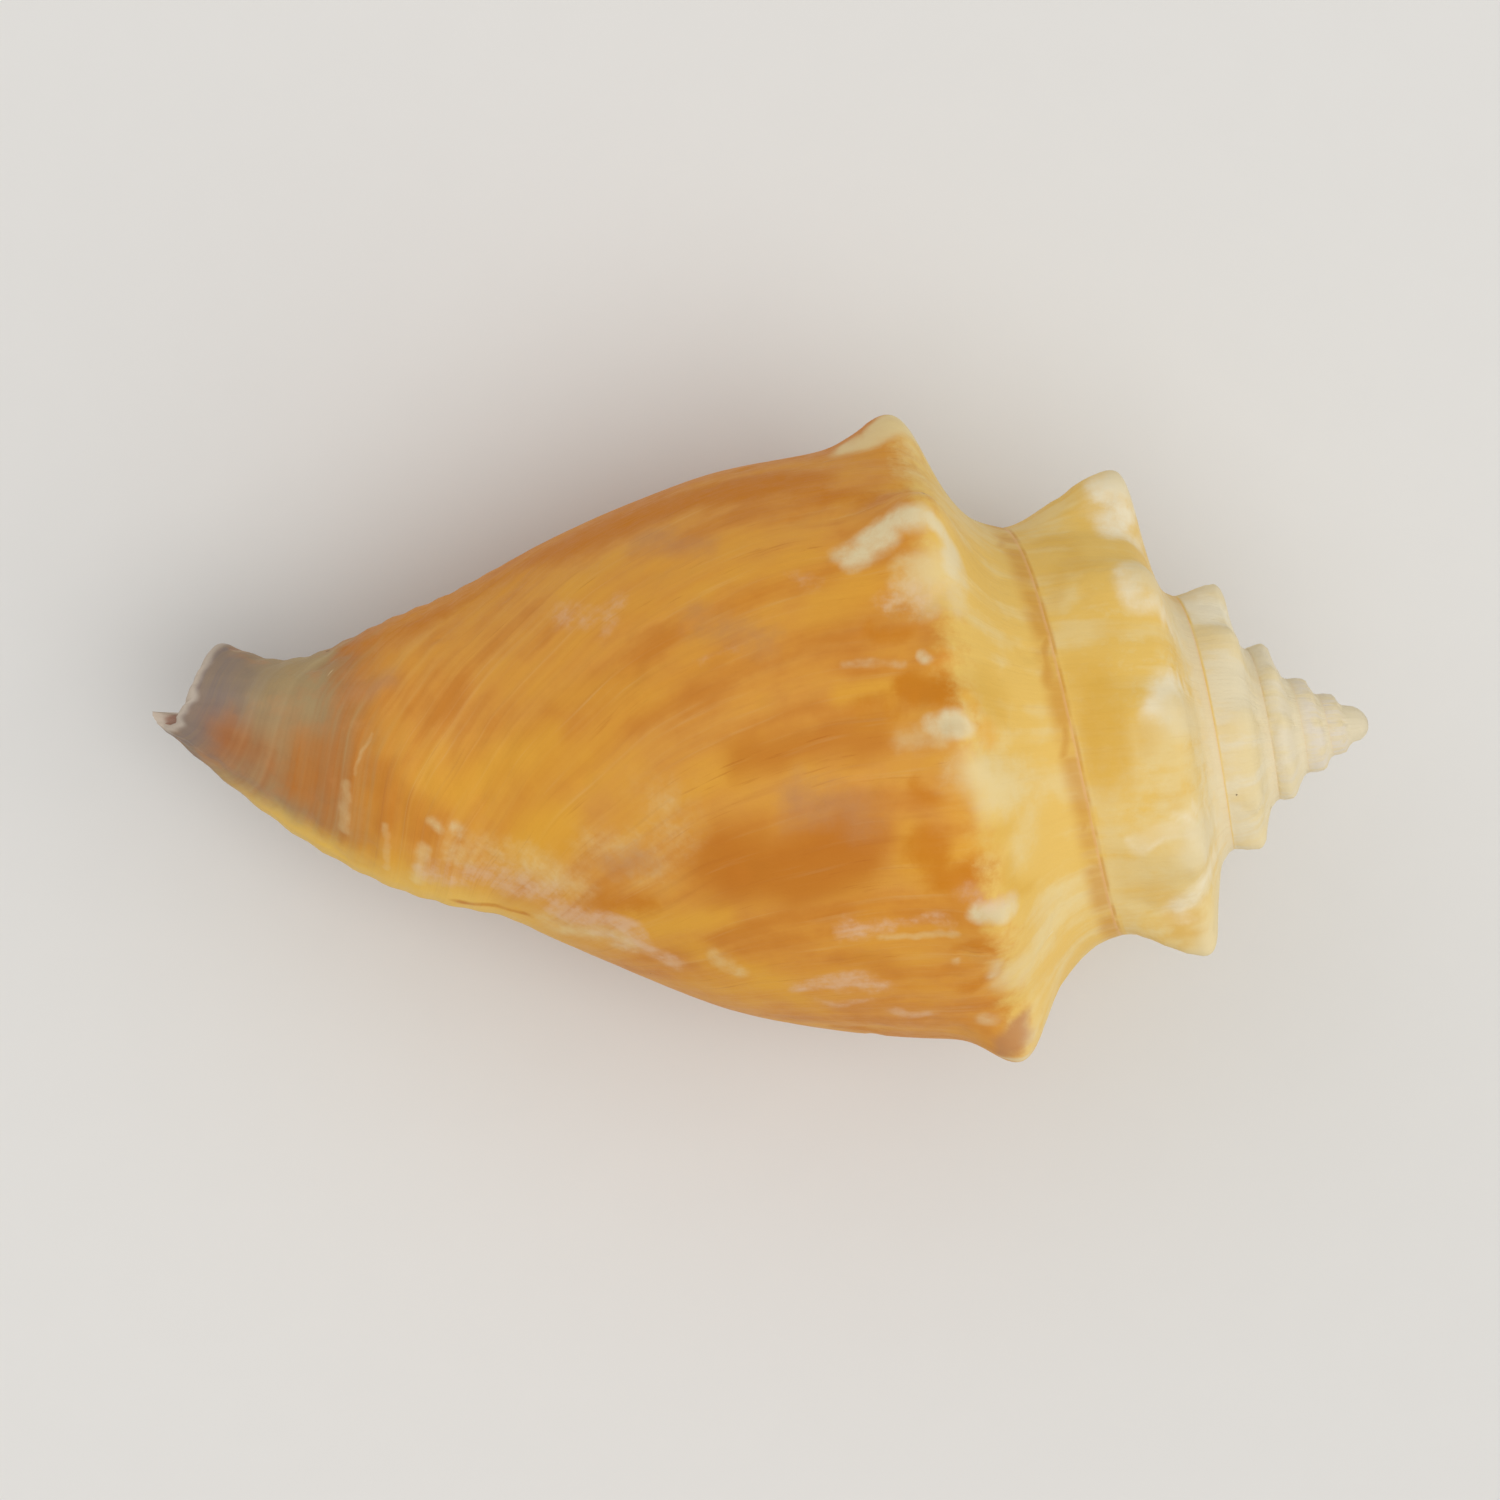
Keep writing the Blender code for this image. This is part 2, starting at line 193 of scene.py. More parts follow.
END_HOLLOW = 0.6  # how deep the canal's open end is worn
END_TEETH = 0.14  # and how deep its teeth are
CALLUS_EDGE_TURN = -0.585  # where the glaze's colour ends
CORD_SPACING = 1.75  # in the cords' own measure, about a millimetre on the last whorl
GROWTH_MM = 0.35  # millimetres for a degree of growth on the last whorl
UPPER_SPIRAL = 7  # the cords' measure from suture to shoulder, and again to the next suture
LOWER_SPIRAL = 44  # the same measure from there to the canal's end
SEAM_REACH = 3.0  # how far below the seam its mark fades out, on the last whorl
SEAM_FROM_TURN = -4.98  # the seams before this turn are too fine to show
RIM_REACH = 1.2  # how far from the canal's end its mark fades out
CREST_DEG = 7.5  # half width of a spine's pale crest
CREST_REACH = 3.4  # its half length on the last whorl
CREST_RISE = 0.6  # how far above the shoulder its middle lies

# ---------------------------------------------------------------- how the shell grew and wore

# A growth line runs straight down from the shoulder, then falls behind as it nears the
# canal. The distances along are those of the line that starts at GROWTH_BEARING.
GROWTH_LAG = (  # distance along, degrees behind
    (0.0, 0.0),
    (40.0, 0.0),
    (48.0, 4.0),
    (53.0, 9.0),
    (57.0, 18.0),
    (61.0, 30.0),
    (64.0, 48.0),
    (66.5, 70.0),
    (67.5, 95.0),
    (68.5, 130.0),
    (69.5, 160.0),
    (73.0, 250.0),
)
GROWTH_BEARING = 64.0
GROWTH_PER_TURN = 1.9  # how much longer the lag's distances get in a turn

# Marks drawn as strokes: half width in millimetres, strength, and the points they pass
# through as distance along and bearing in degrees from the top of the back towards +Y.
# A bearing below -270 is on the second whorl, and below -630 on the third.
# The upper outline's stroke is partly the shell's own darker orange and partly painted shade where the
# side turns away.
SHADED_UPPER_EDGE = ((56.0, 76), (52.5, 75), (45.5, 72), (38.0, 68))
PALE_MARKS = (
    (0.7, 0.45, ((28.5, -62),)),
    (0.5, 0.5, ((28.5, -46), (28.0, -42))),
    (0.4, 0.6, ((26.0, -66), (25.5, -68))),
    (0.5, 0.5, ((63.5, -16),)),
    (0.5, 0.4, ((30.5, -42),)),
    (1.4, 0.95, ((17.0, -278), (16.0, -276))),
    (1.3, 0.85, ((16.5, -279), (16.5, -287))),
    (0.9, 0.6, ((16.5, -310), (16.0, -320), (14.0, -320))),
    (1.0, 0.75, ((15.5, -351), (14.5, -343))),
    (0.8, 0.6, ((14.0, -382), (12.5, -394))),
    (0.6, 0.45, ((17.5, -388), (14.5, -385))),
    (1.3, 0.6, ((14.5, -418), (13.0, -412))),
    (1.6, 0.95, ((11.5, -649), (10.5, -653))),
)
CREAM_MARKS = (
    (1.1, 1.0, ((32.5, 81), (31.0, 85), (30.0, 84))),
    (1.1, 0.9, ((34.5, 81), (33.0, 80))),
    (1.9, 0.8, ((28.0, -3), (26.5, -6))),
    (1.9, 0.7, ((30.5, 36), (31.0, 33))),
    (1.3, 0.5, ((32.0, 31),)),
    (1.9, 0.4, ((63.0, -24), (59.5, -25), (56.5, -30))),
    (1.3, 0.5, ((57.5, -54), (53.0, -49))),
    (0.5, 0.6, ((65.5, -15), (65.0, -19))),
    (2.2, 0.3, ((54.0, -17), (51.0, -18))),
    (2.4, 0.25, ((49.5, -3), (48.5, -12))),
    (1.7, 0.6, ((23.0, -41), (24.5, -50), (27.0, -49))),
    (0.9, 0.5, ((22.5, -68), (24.0, -73))),
    (1.3, 0.5, ((25.5, -20), (24.5, -11))),
    (0.8, 0.5, ((46.5, -44), (45.5, -50))),
)
CHALK_MARKS = (
    (1.2, 0.6, ((33.0, 32), (31.5, 32))),
    (0.7, 0.5, ((29.5, -26), (26.5, -28))),
    (0.8, 0.8, ((38.0, -33), (35.5, -32))),
    (0.5, 0.6, ((35.5, -32), (31.0, -31))),
    (0.8, 0.95, ((41.5, -52), (37.5, -48), (35.5, -49))),
    (0.6, 0.7, ((35.0, -60), (32.5, -60))),
    (0.6, 0.6, ((39.5, -58), (36.5, -55))),
    (0.8, 0.95, ((57.0, -44), (54.5, -41), (53.0, -42), (50.0, -53))),
    (0.8, 0.5, ((54.5, -50), (52.5, -52))),
    (1.3, 0.7, ((65.5, -41), (61.0, -35), (58.0, -36))),
    (1.2, 0.5, ((55.0, 48), (52.5, 41), (51.5, 44))),
    (0.7, 0.3, ((46.0, 26), (43.5, 26))),
    (0.8, 0.4, ((39.0, 40), (38.0, 36))),
)
AMBER_MARKS = (
    # painted shade along the upper outline, over the shell's own orange
    (1.7, 0.8, SHADED_UPPER_EDGE),
    (1.2, 0.7, ((38.5, 64), (33.5, 56))),
    (1.3, 0.6, ((70.5, 69), (64.5, 69), (59.5, 75))),
    (1.1, 0.5, ((29.5, 70), (28.5, 63))),
    (0.7, 0.6, ((34.5, 26), (32.5, 25))),
    (1.0, 1.0, ((32.5, 14), (30.5, 14), (29.5, 10))),
    (1.0, 0.5, ((35.5, 11), (33.0, 11))),
    (0.4, 0.4, ((29.0, 14), (27.5, 7))),
    (0.7, 0.6, ((31.0, -6), (32.5, -4))),
    (1.4, 0.9, ((32.0, -16), (31.0, -22), (28.5, -23))),
    (0.7, 0.7, ((28.5, -21), (28.0, -25))),
    (0.3, 1.0, ((24.5, -27), (25.0, -32), (26.0, -34))),
    (0.7, 0.7, ((30.5, -37), (28.5, -37))),
    (0.6, 0.8, ((30.0, -50), (27.5, -44))),
    (0.7, 0.7, ((27.5, -62), (26.5, -64))),
    (1.0, 0.6, ((38.0, -74), (34.5, -79), (30.5, -75))),
    (1.2, 0.6, ((51.5, -32), (54.0, -34))),
    (0.3, 0.9, ((64.5, -63), (61.5, -56), (59.5, -57))),
)
BROWN_MARKS = (
    # painted shade along the upper outline, over the shell's own orange
    (1.7, 0.9, SHADED_UPPER_EDGE),
    (2.7, 1.0, ((45.0, -18), (41.0, -19), (37.5, -15))),
    (1.4, 0.7, ((44.0, 5), (40.0, 6), (34.5, 6))),
    (1.3, 0.4, ((47.0, 20), (44.0, 27))),
    (1.2, 0.5, ((38.0, -41), (34.5, -44))),
    (1.5, 0.4, ((40.5, -27), (36.5, -27))),
    (1.2, 0.5, ((66.5, -7), (66.5, -22))),
    (1.1, 0.6, ((68.5, 4), (68.5, -19))),
    (1.0, 0.4, ((71.5, 0), (71.5, -9))),
    (1.7, 1.0, ((75.0, -14), (74.0, 8))),
    (1.2, 0.6, ((76.5, -7),)),
    (1.5, 1.0, ((79.5, -1), (77.0, 2))),
)
GOLD_MARKS = (
    (1.8, 0.9, ((58.5, -19), (56.5, -12))),
    (2.0, 0.8, ((63.5, 0), (60.0, 8), (57.0, 12))),
    (1.8, 0.5, ((55.5, 24), (49.5, 21))),
    (1.0, 0.8, ((36.5, 15), (34.0, 14))),
    (1.3, 0.7, ((30.0, -16), (27.5, -15))),
    (1.3, 0.5, ((30.0, -8), (29.5, -12))),
    (1.5, 0.7, ((48.5, -44), (44.0, -49), (41.0, -60))),
    (1.3, 0.7, ((52.0, -39), (46.0, -32))),
    (1.3, 0.8, ((73.5, -44), (68.5, -43))),
    (1.0, 0.6, ((35.0, 57), (31.5, 60))),
    (1.8, 0.6, ((34.5, 35), (37.5, 32))),
    (1.3, 0.6, ((32.5, 37), (32.0, 34))),
    (1.3, 0.6, ((33.0, -12), (33.0, -18))),
    (0.7, 0.8, ((26.5, -23), (25.5, -29))),
    (1.2, 0.6, ((27.0, 16), (27.0, 11))),
    (1.2, 0.6, ((21.0, -292), (19.5, -306))),
    (1.0, 0.6, ((20.5, -304), (21.5, -315))),
    (1.5, 0.35, ((18.5, -323), (18.5, -334))),
    (1.8, 0.9, ((19.5, -342), (19.5, -365))),
    (1.5, 0.4, ((16.5, -358),)),
    (1.2, 0.35, ((14.5, -375),)),
    (1.2, 0.5, ((17.0, -405), (15.0, -417))),
    (1.2, 0.9, ((14.5, -424),)),
    (1.2, 1.0, ((12.5, -469),)),
)
ROSE_MARKS = (
    (0.9, 1.0, ((27.5, -68), (26.5, -66))),
    (1.8, 0.6, ((40.0, -5), (36.5, -8))),
    (1.5, 0.5, ((46.0, 35), (42.0, 27))),
    (1.3, 0.5, ((49.0, 61), (45.5, 53))),
    (1.2, 0.6, ((70.0, 38), (67.5, 41))),
    (1.0, 0.5, ((51.0, -18), (53.5, -22))),
)
VIOLET_MARKS = (
    (1.7, 0.9, ((82.5, 1), (81.0, 20), (79.5, 37), (78.5, 63))),
    (1.0, 0.6, ((80.5, -7), (82.0, -22))),
)
OLIVE_MARKS = (
    (1.7, 0.7, ((75.0, 45), (74.5, 30))),
    (1.3, 0.6, ((76.5, 36), (76.0, 11))),
    (1.3, 0.5, ((77.5, 57), (76.0, 67))),
)
BAND_MARKS = (  # the dark band that the seam's own mark doesn't reach
    (0.5, 0.75, ((23.0, 43), (22.0, 8), (21.8, 0))),
    (0.5, 0.5, ((24.5, 77), (24.5, 64))),
    (0.5, 0.7, ((21.4, -8), (21.0, -22))),
    (0.5, 0.6, ((20.3, -33), (20.0, -48))),
)
STROKES = {
    "pale": PALE_MARKS,
    "cream": CREAM_MARKS,
    "chalk": CHALK_MARKS,
    "amber": AMBER_MARKS,
    "brown": BROWN_MARKS,
    "gold": GOLD_MARKS,
    "rose": ROSE_MARKS,
    "violet": VIOLET_MARKS,
    "olive": OLIVE_MARKS,
    "band": BAND_MARKS,
}

# Strokes finer than the mesh, which the material draws: reach in millimetres, strength
# and points as above.
FINE_PALE_MARKS = (
    (0.8, 0.6, ((36.0, 43), (34.0, 45))),
    (0.9, 1.0, ((34.0, 45), (32.0, 46), (30.5, 45))),
    (1.0, 0.9, ((35.0, 42), (33.0, 44))),
    (0.6, 0.95, ((30.0, 45), (29.0, 43), (28.5, 41), (28.5, 37))),
    (0.7, 0.5, ((28.5, 35), (28.5, 31))),
    (0.4, 0.6, ((31.2, 20), (31.0, 19))),
    (0.35, 0.3, ((36.5, 20), (32.5, 19))),
    (0.7, 1.0, ((30.0, 7), (29.0, 6))),
    (0.6, 0.6, ((31.0, 7), (30.0, 7))),
    (0.7, 0.9, ((29.0, -29), (28.0, -29), (27.0, -30))),
    (0.35, 0.7, ((27.5, -72), (26.0, -72))),
)
FINE_CREAM_MARKS = (
    (0.8, 0.45, ((33.0, 5), (30.5, 5))),
    (0.8, 0.5, ((32.0, 38), (30.5, 36))),
    (0.3, 0.45, ((35.5, -35), (30.5, -34))),
    (0.15, 0.3, ((69.0, 19), (70.5, 0))),
    (0.35, 0.4, ((71.0, -6), (71.5, -33))),
    (0.25, 0.35, ((68.5, -21), (69.0, -49))),
    (0.5, 0.5, ((66.0, -28), (67.0, -51))),
)
FINE_GOLD_MARKS = (
    (0.5, 0.7, ((27.3, 6), (27.0, 3))),
    (0.35, 0.6, ((28.0, 10), (28.5, 12))),
    (0.3, 0.5, ((63.0, -61), (60.0, -54))),
)
# Grey-green painted shade on the side of two worn knobs
FINE_OLIVE_SHADE_MARKS = (
    (0.4, 0.4, ((30.0, 6), (29.2, 6))),
    (0.5, 0.3, ((28.7, -29), (27.7, -30))),
)
BUMPS = (  # distance along, bearing, half length, half width in degrees, height
    (30.1, 20.0, 1.3, 3.2, 0.55),
    (27.0, 1.5, 1.4, 3.4, -0.45),
    (31.2, 42.0, 2.4, 3.2, -0.25),
    (33.0, 31.0, 3.0, 4.0, -0.2),
    (26.6, -27.0, 1.6, 3.0, -0.3),
)

# ---------------------------------------------------------------- fineness of the mesh

COLUMNS_PER_TURN = 324  # the same number for every spine
RAMP_ROWS = 30
SIDE_ROWS = 16
BODY_ROWS = 108
HOLLOW_STEPS = 72
HOLLOW_ROWS = 60

# ---------------------------------------------------------------- the stage

WORLD_LIGHT = 0.55
LAMPS = (  # name, where the light comes from, how wide it is in degrees, its strength
    ("key", (0.1, -0.3, 1.0), 50, 0.94),
    ("right", (0.85, -0.2, 0.5), 60, 0.75),
    ("left", (-0.7, 0.5, 0.6), 60, 0.4),
)
LOOK_AT = (-1.1, -0.97, 20.0)  # what the middle of the picture shows, in millimetres
BACKDROP_LIGHT = 1.042  # makes the backdrop as light as the lit floor


def smooth_curve(points):
    """A function that runs smoothly through the points and never overshoots them."""
    x, y = (np.array(values, float) for values in zip(*points))
    step = np.diff(x)
    rise = np.diff(y) / step
    slope = np.zeros_like(x)
    slope[0], slope[-1] = rise[0], rise[-1]
    same_way = rise[1:] * rise[:-1] > 0
    first, second = rise[:-1][same_way], rise[1:][same_way]
    slope[1:-1][same_way] = 2 * first * second / (first + second)

    def value(at):
        at = np.clip(at, x[0], x[-1])
        k = np.clip(np.searchsorted(x, at, side="right") - 1, 0, len(step) - 1)
        t = (at - x[k]) / step[k]
        start = (1 + 2 * t) * (1 - t) ** 2 * y[k] + t * (1 - t) ** 2 * step[k] * slope[k]
        end = t**2 * (3 - 2 * t) * y[k + 1] - t**2 * (1 - t) * step[k] * slope[k + 1]
        return start + end

    return value


suture_along_log = smooth_curve([(turn, math.log(along)) for turn, along, _ in SUTURE])
suture_out_log = smooth_curve([(turn, math.log(out)) for turn, _, out in SUTURE])
shoulder_past = smooth_curve([(turn, past) for turn, past, _ in SHOULDER])
shoulder_rise = smooth_curve([(turn, rise) for turn, _, rise in SHOULDER])
ramp = smooth_curve(RAMP)
spire_crest = smooth_curve(SPIRE_CREST)
body_crest = smooth_curve(BODY_CREST)
spine_height = smooth_curve(SPINE_HEIGHT)
low_side = smooth_curve(LOW_SIDE)
high_side = smooth_curve(HIGH_SIDE)
canal_bend = smooth_curve(CANAL_BEND)
lip_bearing = smooth_curve(LIP_BEARING)
hollow_deg = smooth_curve(HOLLOW_DEG)
columella_taper = smooth_curve(COLUMELLA_TAPER)
growth_lag = smooth_curve(GROWTH_LAG)


def suture(turn):
    """Where the seam lies: distance along and out."""
    return np.exp(suture_along_log(turn)), np.exp(suture_out_log(turn))


def shoulder(turn):
    """Where the shoulder lies between two spines: distance along and out."""
    along, out = suture(turn)
    return along + shoulder_past(turn), out + shoulder_rise(turn)


def half_turns(turn):
    """0 at the lower outline of the last whorl and 1 at its upper one."""
    return 2 * turn + 1


def side_mix(turn):
    """The share of the upper outline's profile in the side at this turn."""
    w = half_turns(turn)
    soft = 0.5 * (w + np.sqrt(w * w + SIDE_BEND**2))
    at_low = 0.5 * SIDE_BEND
    at_high = 0.5 * (1 + math.sqrt(1 + SIDE_BEND**2))
    return (soft - at_low) / (at_high - at_low)


def end_along(turn):
    """Where the canal's end lies, worn hollow and toothed on its open side."""
    w = np.clip(half_turns(turn), 0, 2)
    even = CORNER_ALONG + (TIP_ALONG - CORNER_ALONG) * np.sin(0.5 * math.pi * (1 - w))
    open_end = np.clip(w, 0, 1)
    broken = np.sin(math.pi * open_end) * (
        END_HOLLOW + END_TEETH * (np.sin(31 * open_end) + 0.6 * np.sin(67 * open_end + 1))
    )
    return even - broken


def body_side(turn, along):
    """The last whorl's distance out below its shoulder, without spines."""
    shoulder_along, shoulder_out = shoulder(turn)
    share = (along - shoulder_along) / (end_along(turn) - shoulder_along)
    mix = side_mix(turn)
    factor = low_side(share) + mix * (high_side(share) - low_side(share))
    inner = np.clip(-half_turns(turn), 0, COLUMELLA_HALF_TURNS)
    plain = shoulder_out * factor * (1 - columella_taper(share) * inner)
    curl = LIP_CURL * lip_nearness(turn) ** 2 * np.sin(math.pi * share)
    return plain + callus(turn, share) - curl


def callus(turn, share):
    """The glaze that thickens the underside beside the opening."""
    around = np.clip(1 - np.abs(turn - CALLUS_TURN) / CALLUS_TURNS, 0, 1)
    down = np.sin(math.pi * np.clip(share * CALLUS_REACH, 0, 1))
    return CALLUS * np.sin(0.5 * math.pi * around) ** 2 * down


def lip_nearness(turn):
    """0 where the lip begins and 1 at its edge."""
    return np.clip((turn - LIP_START) / (LIP_TURN - LIP_START), 0, 1.2)


def spire_side(turn, along):
    """A spire whorl's distance out below its shoulder."""
    shoulder_along, shoulder_out = shoulder(turn)
    next_along, next_out = suture(turn + 1)
    share = np.clip((along - shoulder_along) / (next_along - shoulder_along), 0, 1)
    bulge = SPIRE_BULGE * shoulder_out * np.sin(math.pi * share)
    return shoulder_out + (next_out - shoulder_out) * share**SPIRE_SIDE_POWER + bulge


def spine_share(turn):
    """How much of a spine stands at this turn: 1 on its crest, 0 between two spines."""
    count = np.round((SPINE_TURN - turn) * SPINES_PER_TURN)
    degrees = 360 * (turn - (SPINE_TURN - count / SPINES_PER_TURN))
    reach = np.where(degrees > 0, SPINE_AHEAD_DEG, SPINE_BEHIND_DEG)
    share = np.cos(0.5 * math.pi * np.minimum(np.abs(degrees) / reach, 1)) ** 2
    for spine, left in WORN_SPINES.items():
        share = np.where(count == spine, share * left, share)
    return share


def next_line(turn):
    """The next suture's distance along, carried on evenly past the lip."""
    carried = np.maximum(turn + 1 - LIP_TURN, 0)
    return np.exp(suture_along_log(np.minimum(turn + 1, LIP_TURN))) + LINE_PAST_LIP * carried


def whorl_points(turn, station, last):
    """(along, out) down one column: station 0 to 1 is the ramp, 1 to 3 the whorl's side."""
    seam_along, seam_out = suture(turn)
    shoulder_along, shoulder_out = shoulder(turn)
    next_along = next_line(turn)
    on_ramp = np.minimum(station, 1)
    plain = seam_out + (shoulder_out - seam_out) * ramp(on_ramp)
    body = np.clip(2 * turn + 2, 0, 1)
    steep = spire_crest(on_ramp) + body * (body_crest(on_ramp) - spire_crest(on_ramp))
    raised = seam_out + (shoulder_out - seam_out + spine_height(turn)) * steep
    ramp_out = plain + spine_share(turn) * (raised - plain)
    along = seam_along + (shoulder_along - seam_along) * on_ramp
    above_next = shoulder_along + (next_along - shoulder_along) * (station - 1)
    along = np.where(station > 1, above_next, along)
    below = next_along + (end_along(turn) - next_along) * (station - 2)
    along = np.where(station > 2, below, along)
    side = body_side(turn, along) if last else spire_side(turn, along)
    reach = np.minimum(SPINE_FOOT_SHARE * (next_along - shoulder_along), SPINE_FOOT)
    fall = 0.5 + 0.5 * np.cos(math.pi * np.clip((along - shoulder_along) / reach, 0, 1))
    side = side + spine_share(turn) * spine_height(turn) * fall
    return along, np.where(station <= 1, ramp_out, side)


def lip_turn(share):
    """The turn of the lip's edge at this share of the way down it."""
    return LIP_TURN + lip_bearing(share) / 360


def grown_turn(turn, station):
    """The turn of a column down the profile, spread out towards the lip's edge."""
    share = np.clip((station - 0.5) / 2.5, 0, 1)
    if turn <= LIP_START:
        return np.full_like(share, turn)
    spread = (turn - LIP_START) / (LIP_TURN - LIP_START)
    return LIP_START + spread * (lip_turn(share) - LIP_START)


def upper_stations(turn):
    """Rows from the suture to the next one, fewer on the small whorls."""
    if turn >= -1:
        return np.concatenate(
            [np.linspace(0, 1, RAMP_ROWS + 1), np.linspace(1, 2, SIDE_ROWS + 1)[1:-1]]
        )
    size = math.exp(0.62 * (turn + 1.0))
    ramp_rows = max(2, round(RAMP_ROWS * size))
    side_rows = max(2, round(SIDE_ROWS * size))
    return np.concatenate(
        [np.linspace(0, 1, ramp_rows + 1), np.linspace(1, 2, side_rows + 1)[1:-1]]
    )


LOWER_STATIONS = np.linspace(2, 3, BODY_ROWS + 1)


class Sheet:
    """Points of the unrolled shell and the triangles between its columns."""

    def __init__(self):
        self.rows = []
        self.count = 0
        self.triangles = []
        self.lining = []

    def add(self, turn, along, out, station, lining=0.0):
        row = np.broadcast_arrays(*np.atleast_1d(turn, along, out, station, lining))
        self.rows.append(np.stack(row, axis=1).astype(float))
        first = self.count
        self.count += len(row[0])
        return list(range(first, self.count))

    def at(self, indices):
        return np.concatenate(self.rows)[indices]

    def zip(self, left, right, lining=False):
        """Fills the band between two rows of points, which may differ in number."""
        i, j = 0, 0
        while i < len(left) - 1 or j < len(right) - 1:
            next_left = (i + 1) / max(len(left) - 1, 1)
            next_right = (j + 1) / max(len(right) - 1, 1)
            if j == len(right) - 1 or (i < len(left) - 1 and next_left <= next_right):
                self.triangle(left[i], left[i + 1], right[j], lining)
                i += 1
            else:
                self.triangle(left[i], right[j + 1], right[j], lining)
                j += 1

    def triangle(self, a, b, c, lining=False):
        if len({a, b, c}) == 3:
            self.triangles.append((c, b, a))
            self.lining.append(lining)


def soften(along, out, stations, end):
    """Rounds the shoulder of a profile, which keeps its two ends."""
    held = np.clip((stations - 0.1) / 0.3, 0, 1) * np.clip((end - stations) / 0.4, 0, 1)
    rows = (np.count_nonzero(stations <= 1) - 1) / RAMP_ROWS
    rounds = SHOULDER_ROUNDS * rows**2
    part = 0.5 * rounds / math.ceil(rounds)
    for _ in range(math.ceil(rounds)):
        for line in (along, out):
            line[1:-1] += held[1:-1] * part * (line[:-2] + line[2:] - 2 * line[1:-1])


def draw_outside(sheet):
    """The outer skin. Returns the last whorl's columns and turns."""
    last_column = round((LIP_TURN - FIRST_TURN) * COLUMNS_PER_TURN)
    body_column = last_column - COLUMNS_PER_TURN
    turns = [FIRST_TURN + c / COLUMNS_PER_TURN for c in range(last_column)] + [LIP_TURN]
    columns, upper_counts = [], []
    for c, turn in enumerate(turns):
        last = c >= body_column
        stations = upper_stations(turn)
        upper_counts.append(len(stations))
        stations = np.concatenate([stations, LOWER_STATIONS if last else [2.0]])
        at = grown_turn(turn, stations)
        along, out = whorl_points(at, stations, last)
        soften(along, out, stations, 2.6 if last else 1.95)
        if not last:
            at, along, out, stations = at[:-1], along[:-1], out[:-1], stations[:-1]
        columns.append(sheet.add(at, along, out, stations))
    for c in range(body_column + 1):
        seam_point = columns[c + COLUMNS_PER_TURN][0]
        columns[c][upper_counts[c] : upper_counts[c] + 1] = [seam_point]
    for c in range(last_column):
        left, right = columns[c], columns[c + 1]
        if c + 1 <= body_column:
            right = right[: upper_counts[c + 1] + 1]
        sheet.zip(left, right)
    rim = [columns[c][0] for c in range(COLUMNS_PER_TURN + 1)]
    rim += columns[0][-2:0:-1]
    points = sheet.at(rim)
    ring = rim + rim[:1]
    for share in APEX_RINGS:
        dome = 1 - math.sqrt(1 - share**2)
        new = sheet.add(points[:, 0], points[:, 1] * dome, points[:, 2] * share, points[:, 3])
        sheet.zip(ring, new + new[:1])
        ring = new + new[:1]
    apex = sheet.add(FIRST_TURN, 0.0, 0.0, 0.0)[0]
    for a, b in zip(ring, ring[1:]):
        sheet.triangle(a, b, apex)
    return columns[body_column:], turns[body_column:]


def hollow_points(share_in, share_down, outer):
    """Points of the hollow: share_in goes from the mouth inwards."""
    turn = lip_turn(share_down) - share_in * hollow_deg(share_down) / 360
    seam_along, _ = suture(turn)
    roof = seam_along + ROOF_SHARE * shoulder_past(turn)
    end = end_along(turn)
    along = roof + (end - roof) * share_down
    wall = LIP_WALL + (WALL - LIP_WALL) * min(share_in * LIP_WALL_SHARE, 1)
    wall = wall * (1 - CANAL_THINNING * np.clip((share_down - 0.8) / 0.2, 0, 1))
    full = np.maximum(body_side(turn, np.maximum(along, shoulder(turn)[0])) - wall, 0)
    core = np.minimum(body_side(turn - 1, along), full - LEAST_GAP)
    arch = np.sqrt(1 - (1 - np.minimum((along - roof) / ROOF_ROUND + ROOF_EDGE, 1)) ** 2)
    top = core + (full - core) * arch
    out = top if outer else core + (top - core) * CLOSING * share_in**3
    return turn, along, out, 0.5 + 2.5 * share_down


def between(rows, count):
    """Rows of values read off evenly at this many places."""
    spots = np.linspace(0, 1, count)
    given = np.linspace(0, 1, len(rows))
    return np.stack([np.interp(spots, given, rows[:, k]) for k in range(rows.shape[1])], axis=1)


def draw_hollow(sheet, columns, turns):
    """The hollow behind the opening, with the rounded edge of the lip and canal."""
    upper = len(upper_stations(turns[0]))
    inner_mouth = columns[0][upper + 1 :]
    downs = np.linspace(0, 1, HOLLOW_ROWS + 1)
    outer_sheet, inner_sheet = [], [inner_mouth]
    for step in range(HOLLOW_STEPS + 1):
        share_in = step / HOLLOW_STEPS
        lining = 0.15 + 0.85 * share_in
        outer_sheet.append(sheet.add(*hollow_points(share_in, downs, True), lining))
        if step > 0:
            inner_sheet.append(sheet.add(*hollow_points(share_in, downs, False), lining))
    for step in range(HOLLOW_STEPS):
        sheet.zip(outer_sheet[step], outer_sheet[step + 1], True)
        sheet.zip(inner_sheet[step + 1], inner_sheet[step], True)
        sheet.zip(
            [outer_sheet[step][0], outer_sheet[step + 1][0]],
            [inner_sheet[step][0], inner_sheet[step + 1][0]],
            True,
        )
    sheet.zip(outer_sheet[-1], inner_sheet[-1], True)
    back = lip_turn(1.0) - hollow_deg(1.0) / 360
    rim_back = int(np.argmin([abs(turn - back) for turn in turns]))
    rim = [column[-1] for column in columns]
    ends = round_edge(sheet, columns[-1], rim[rim_back:-1][::-1], outer_sheet, inner_mouth[0])
    cap = rim[: rim_back + 1] + ends + [outer_sheet[-1][-1]]
    sheet.zip([row[-1] for row in inner_sheet], cap, True)


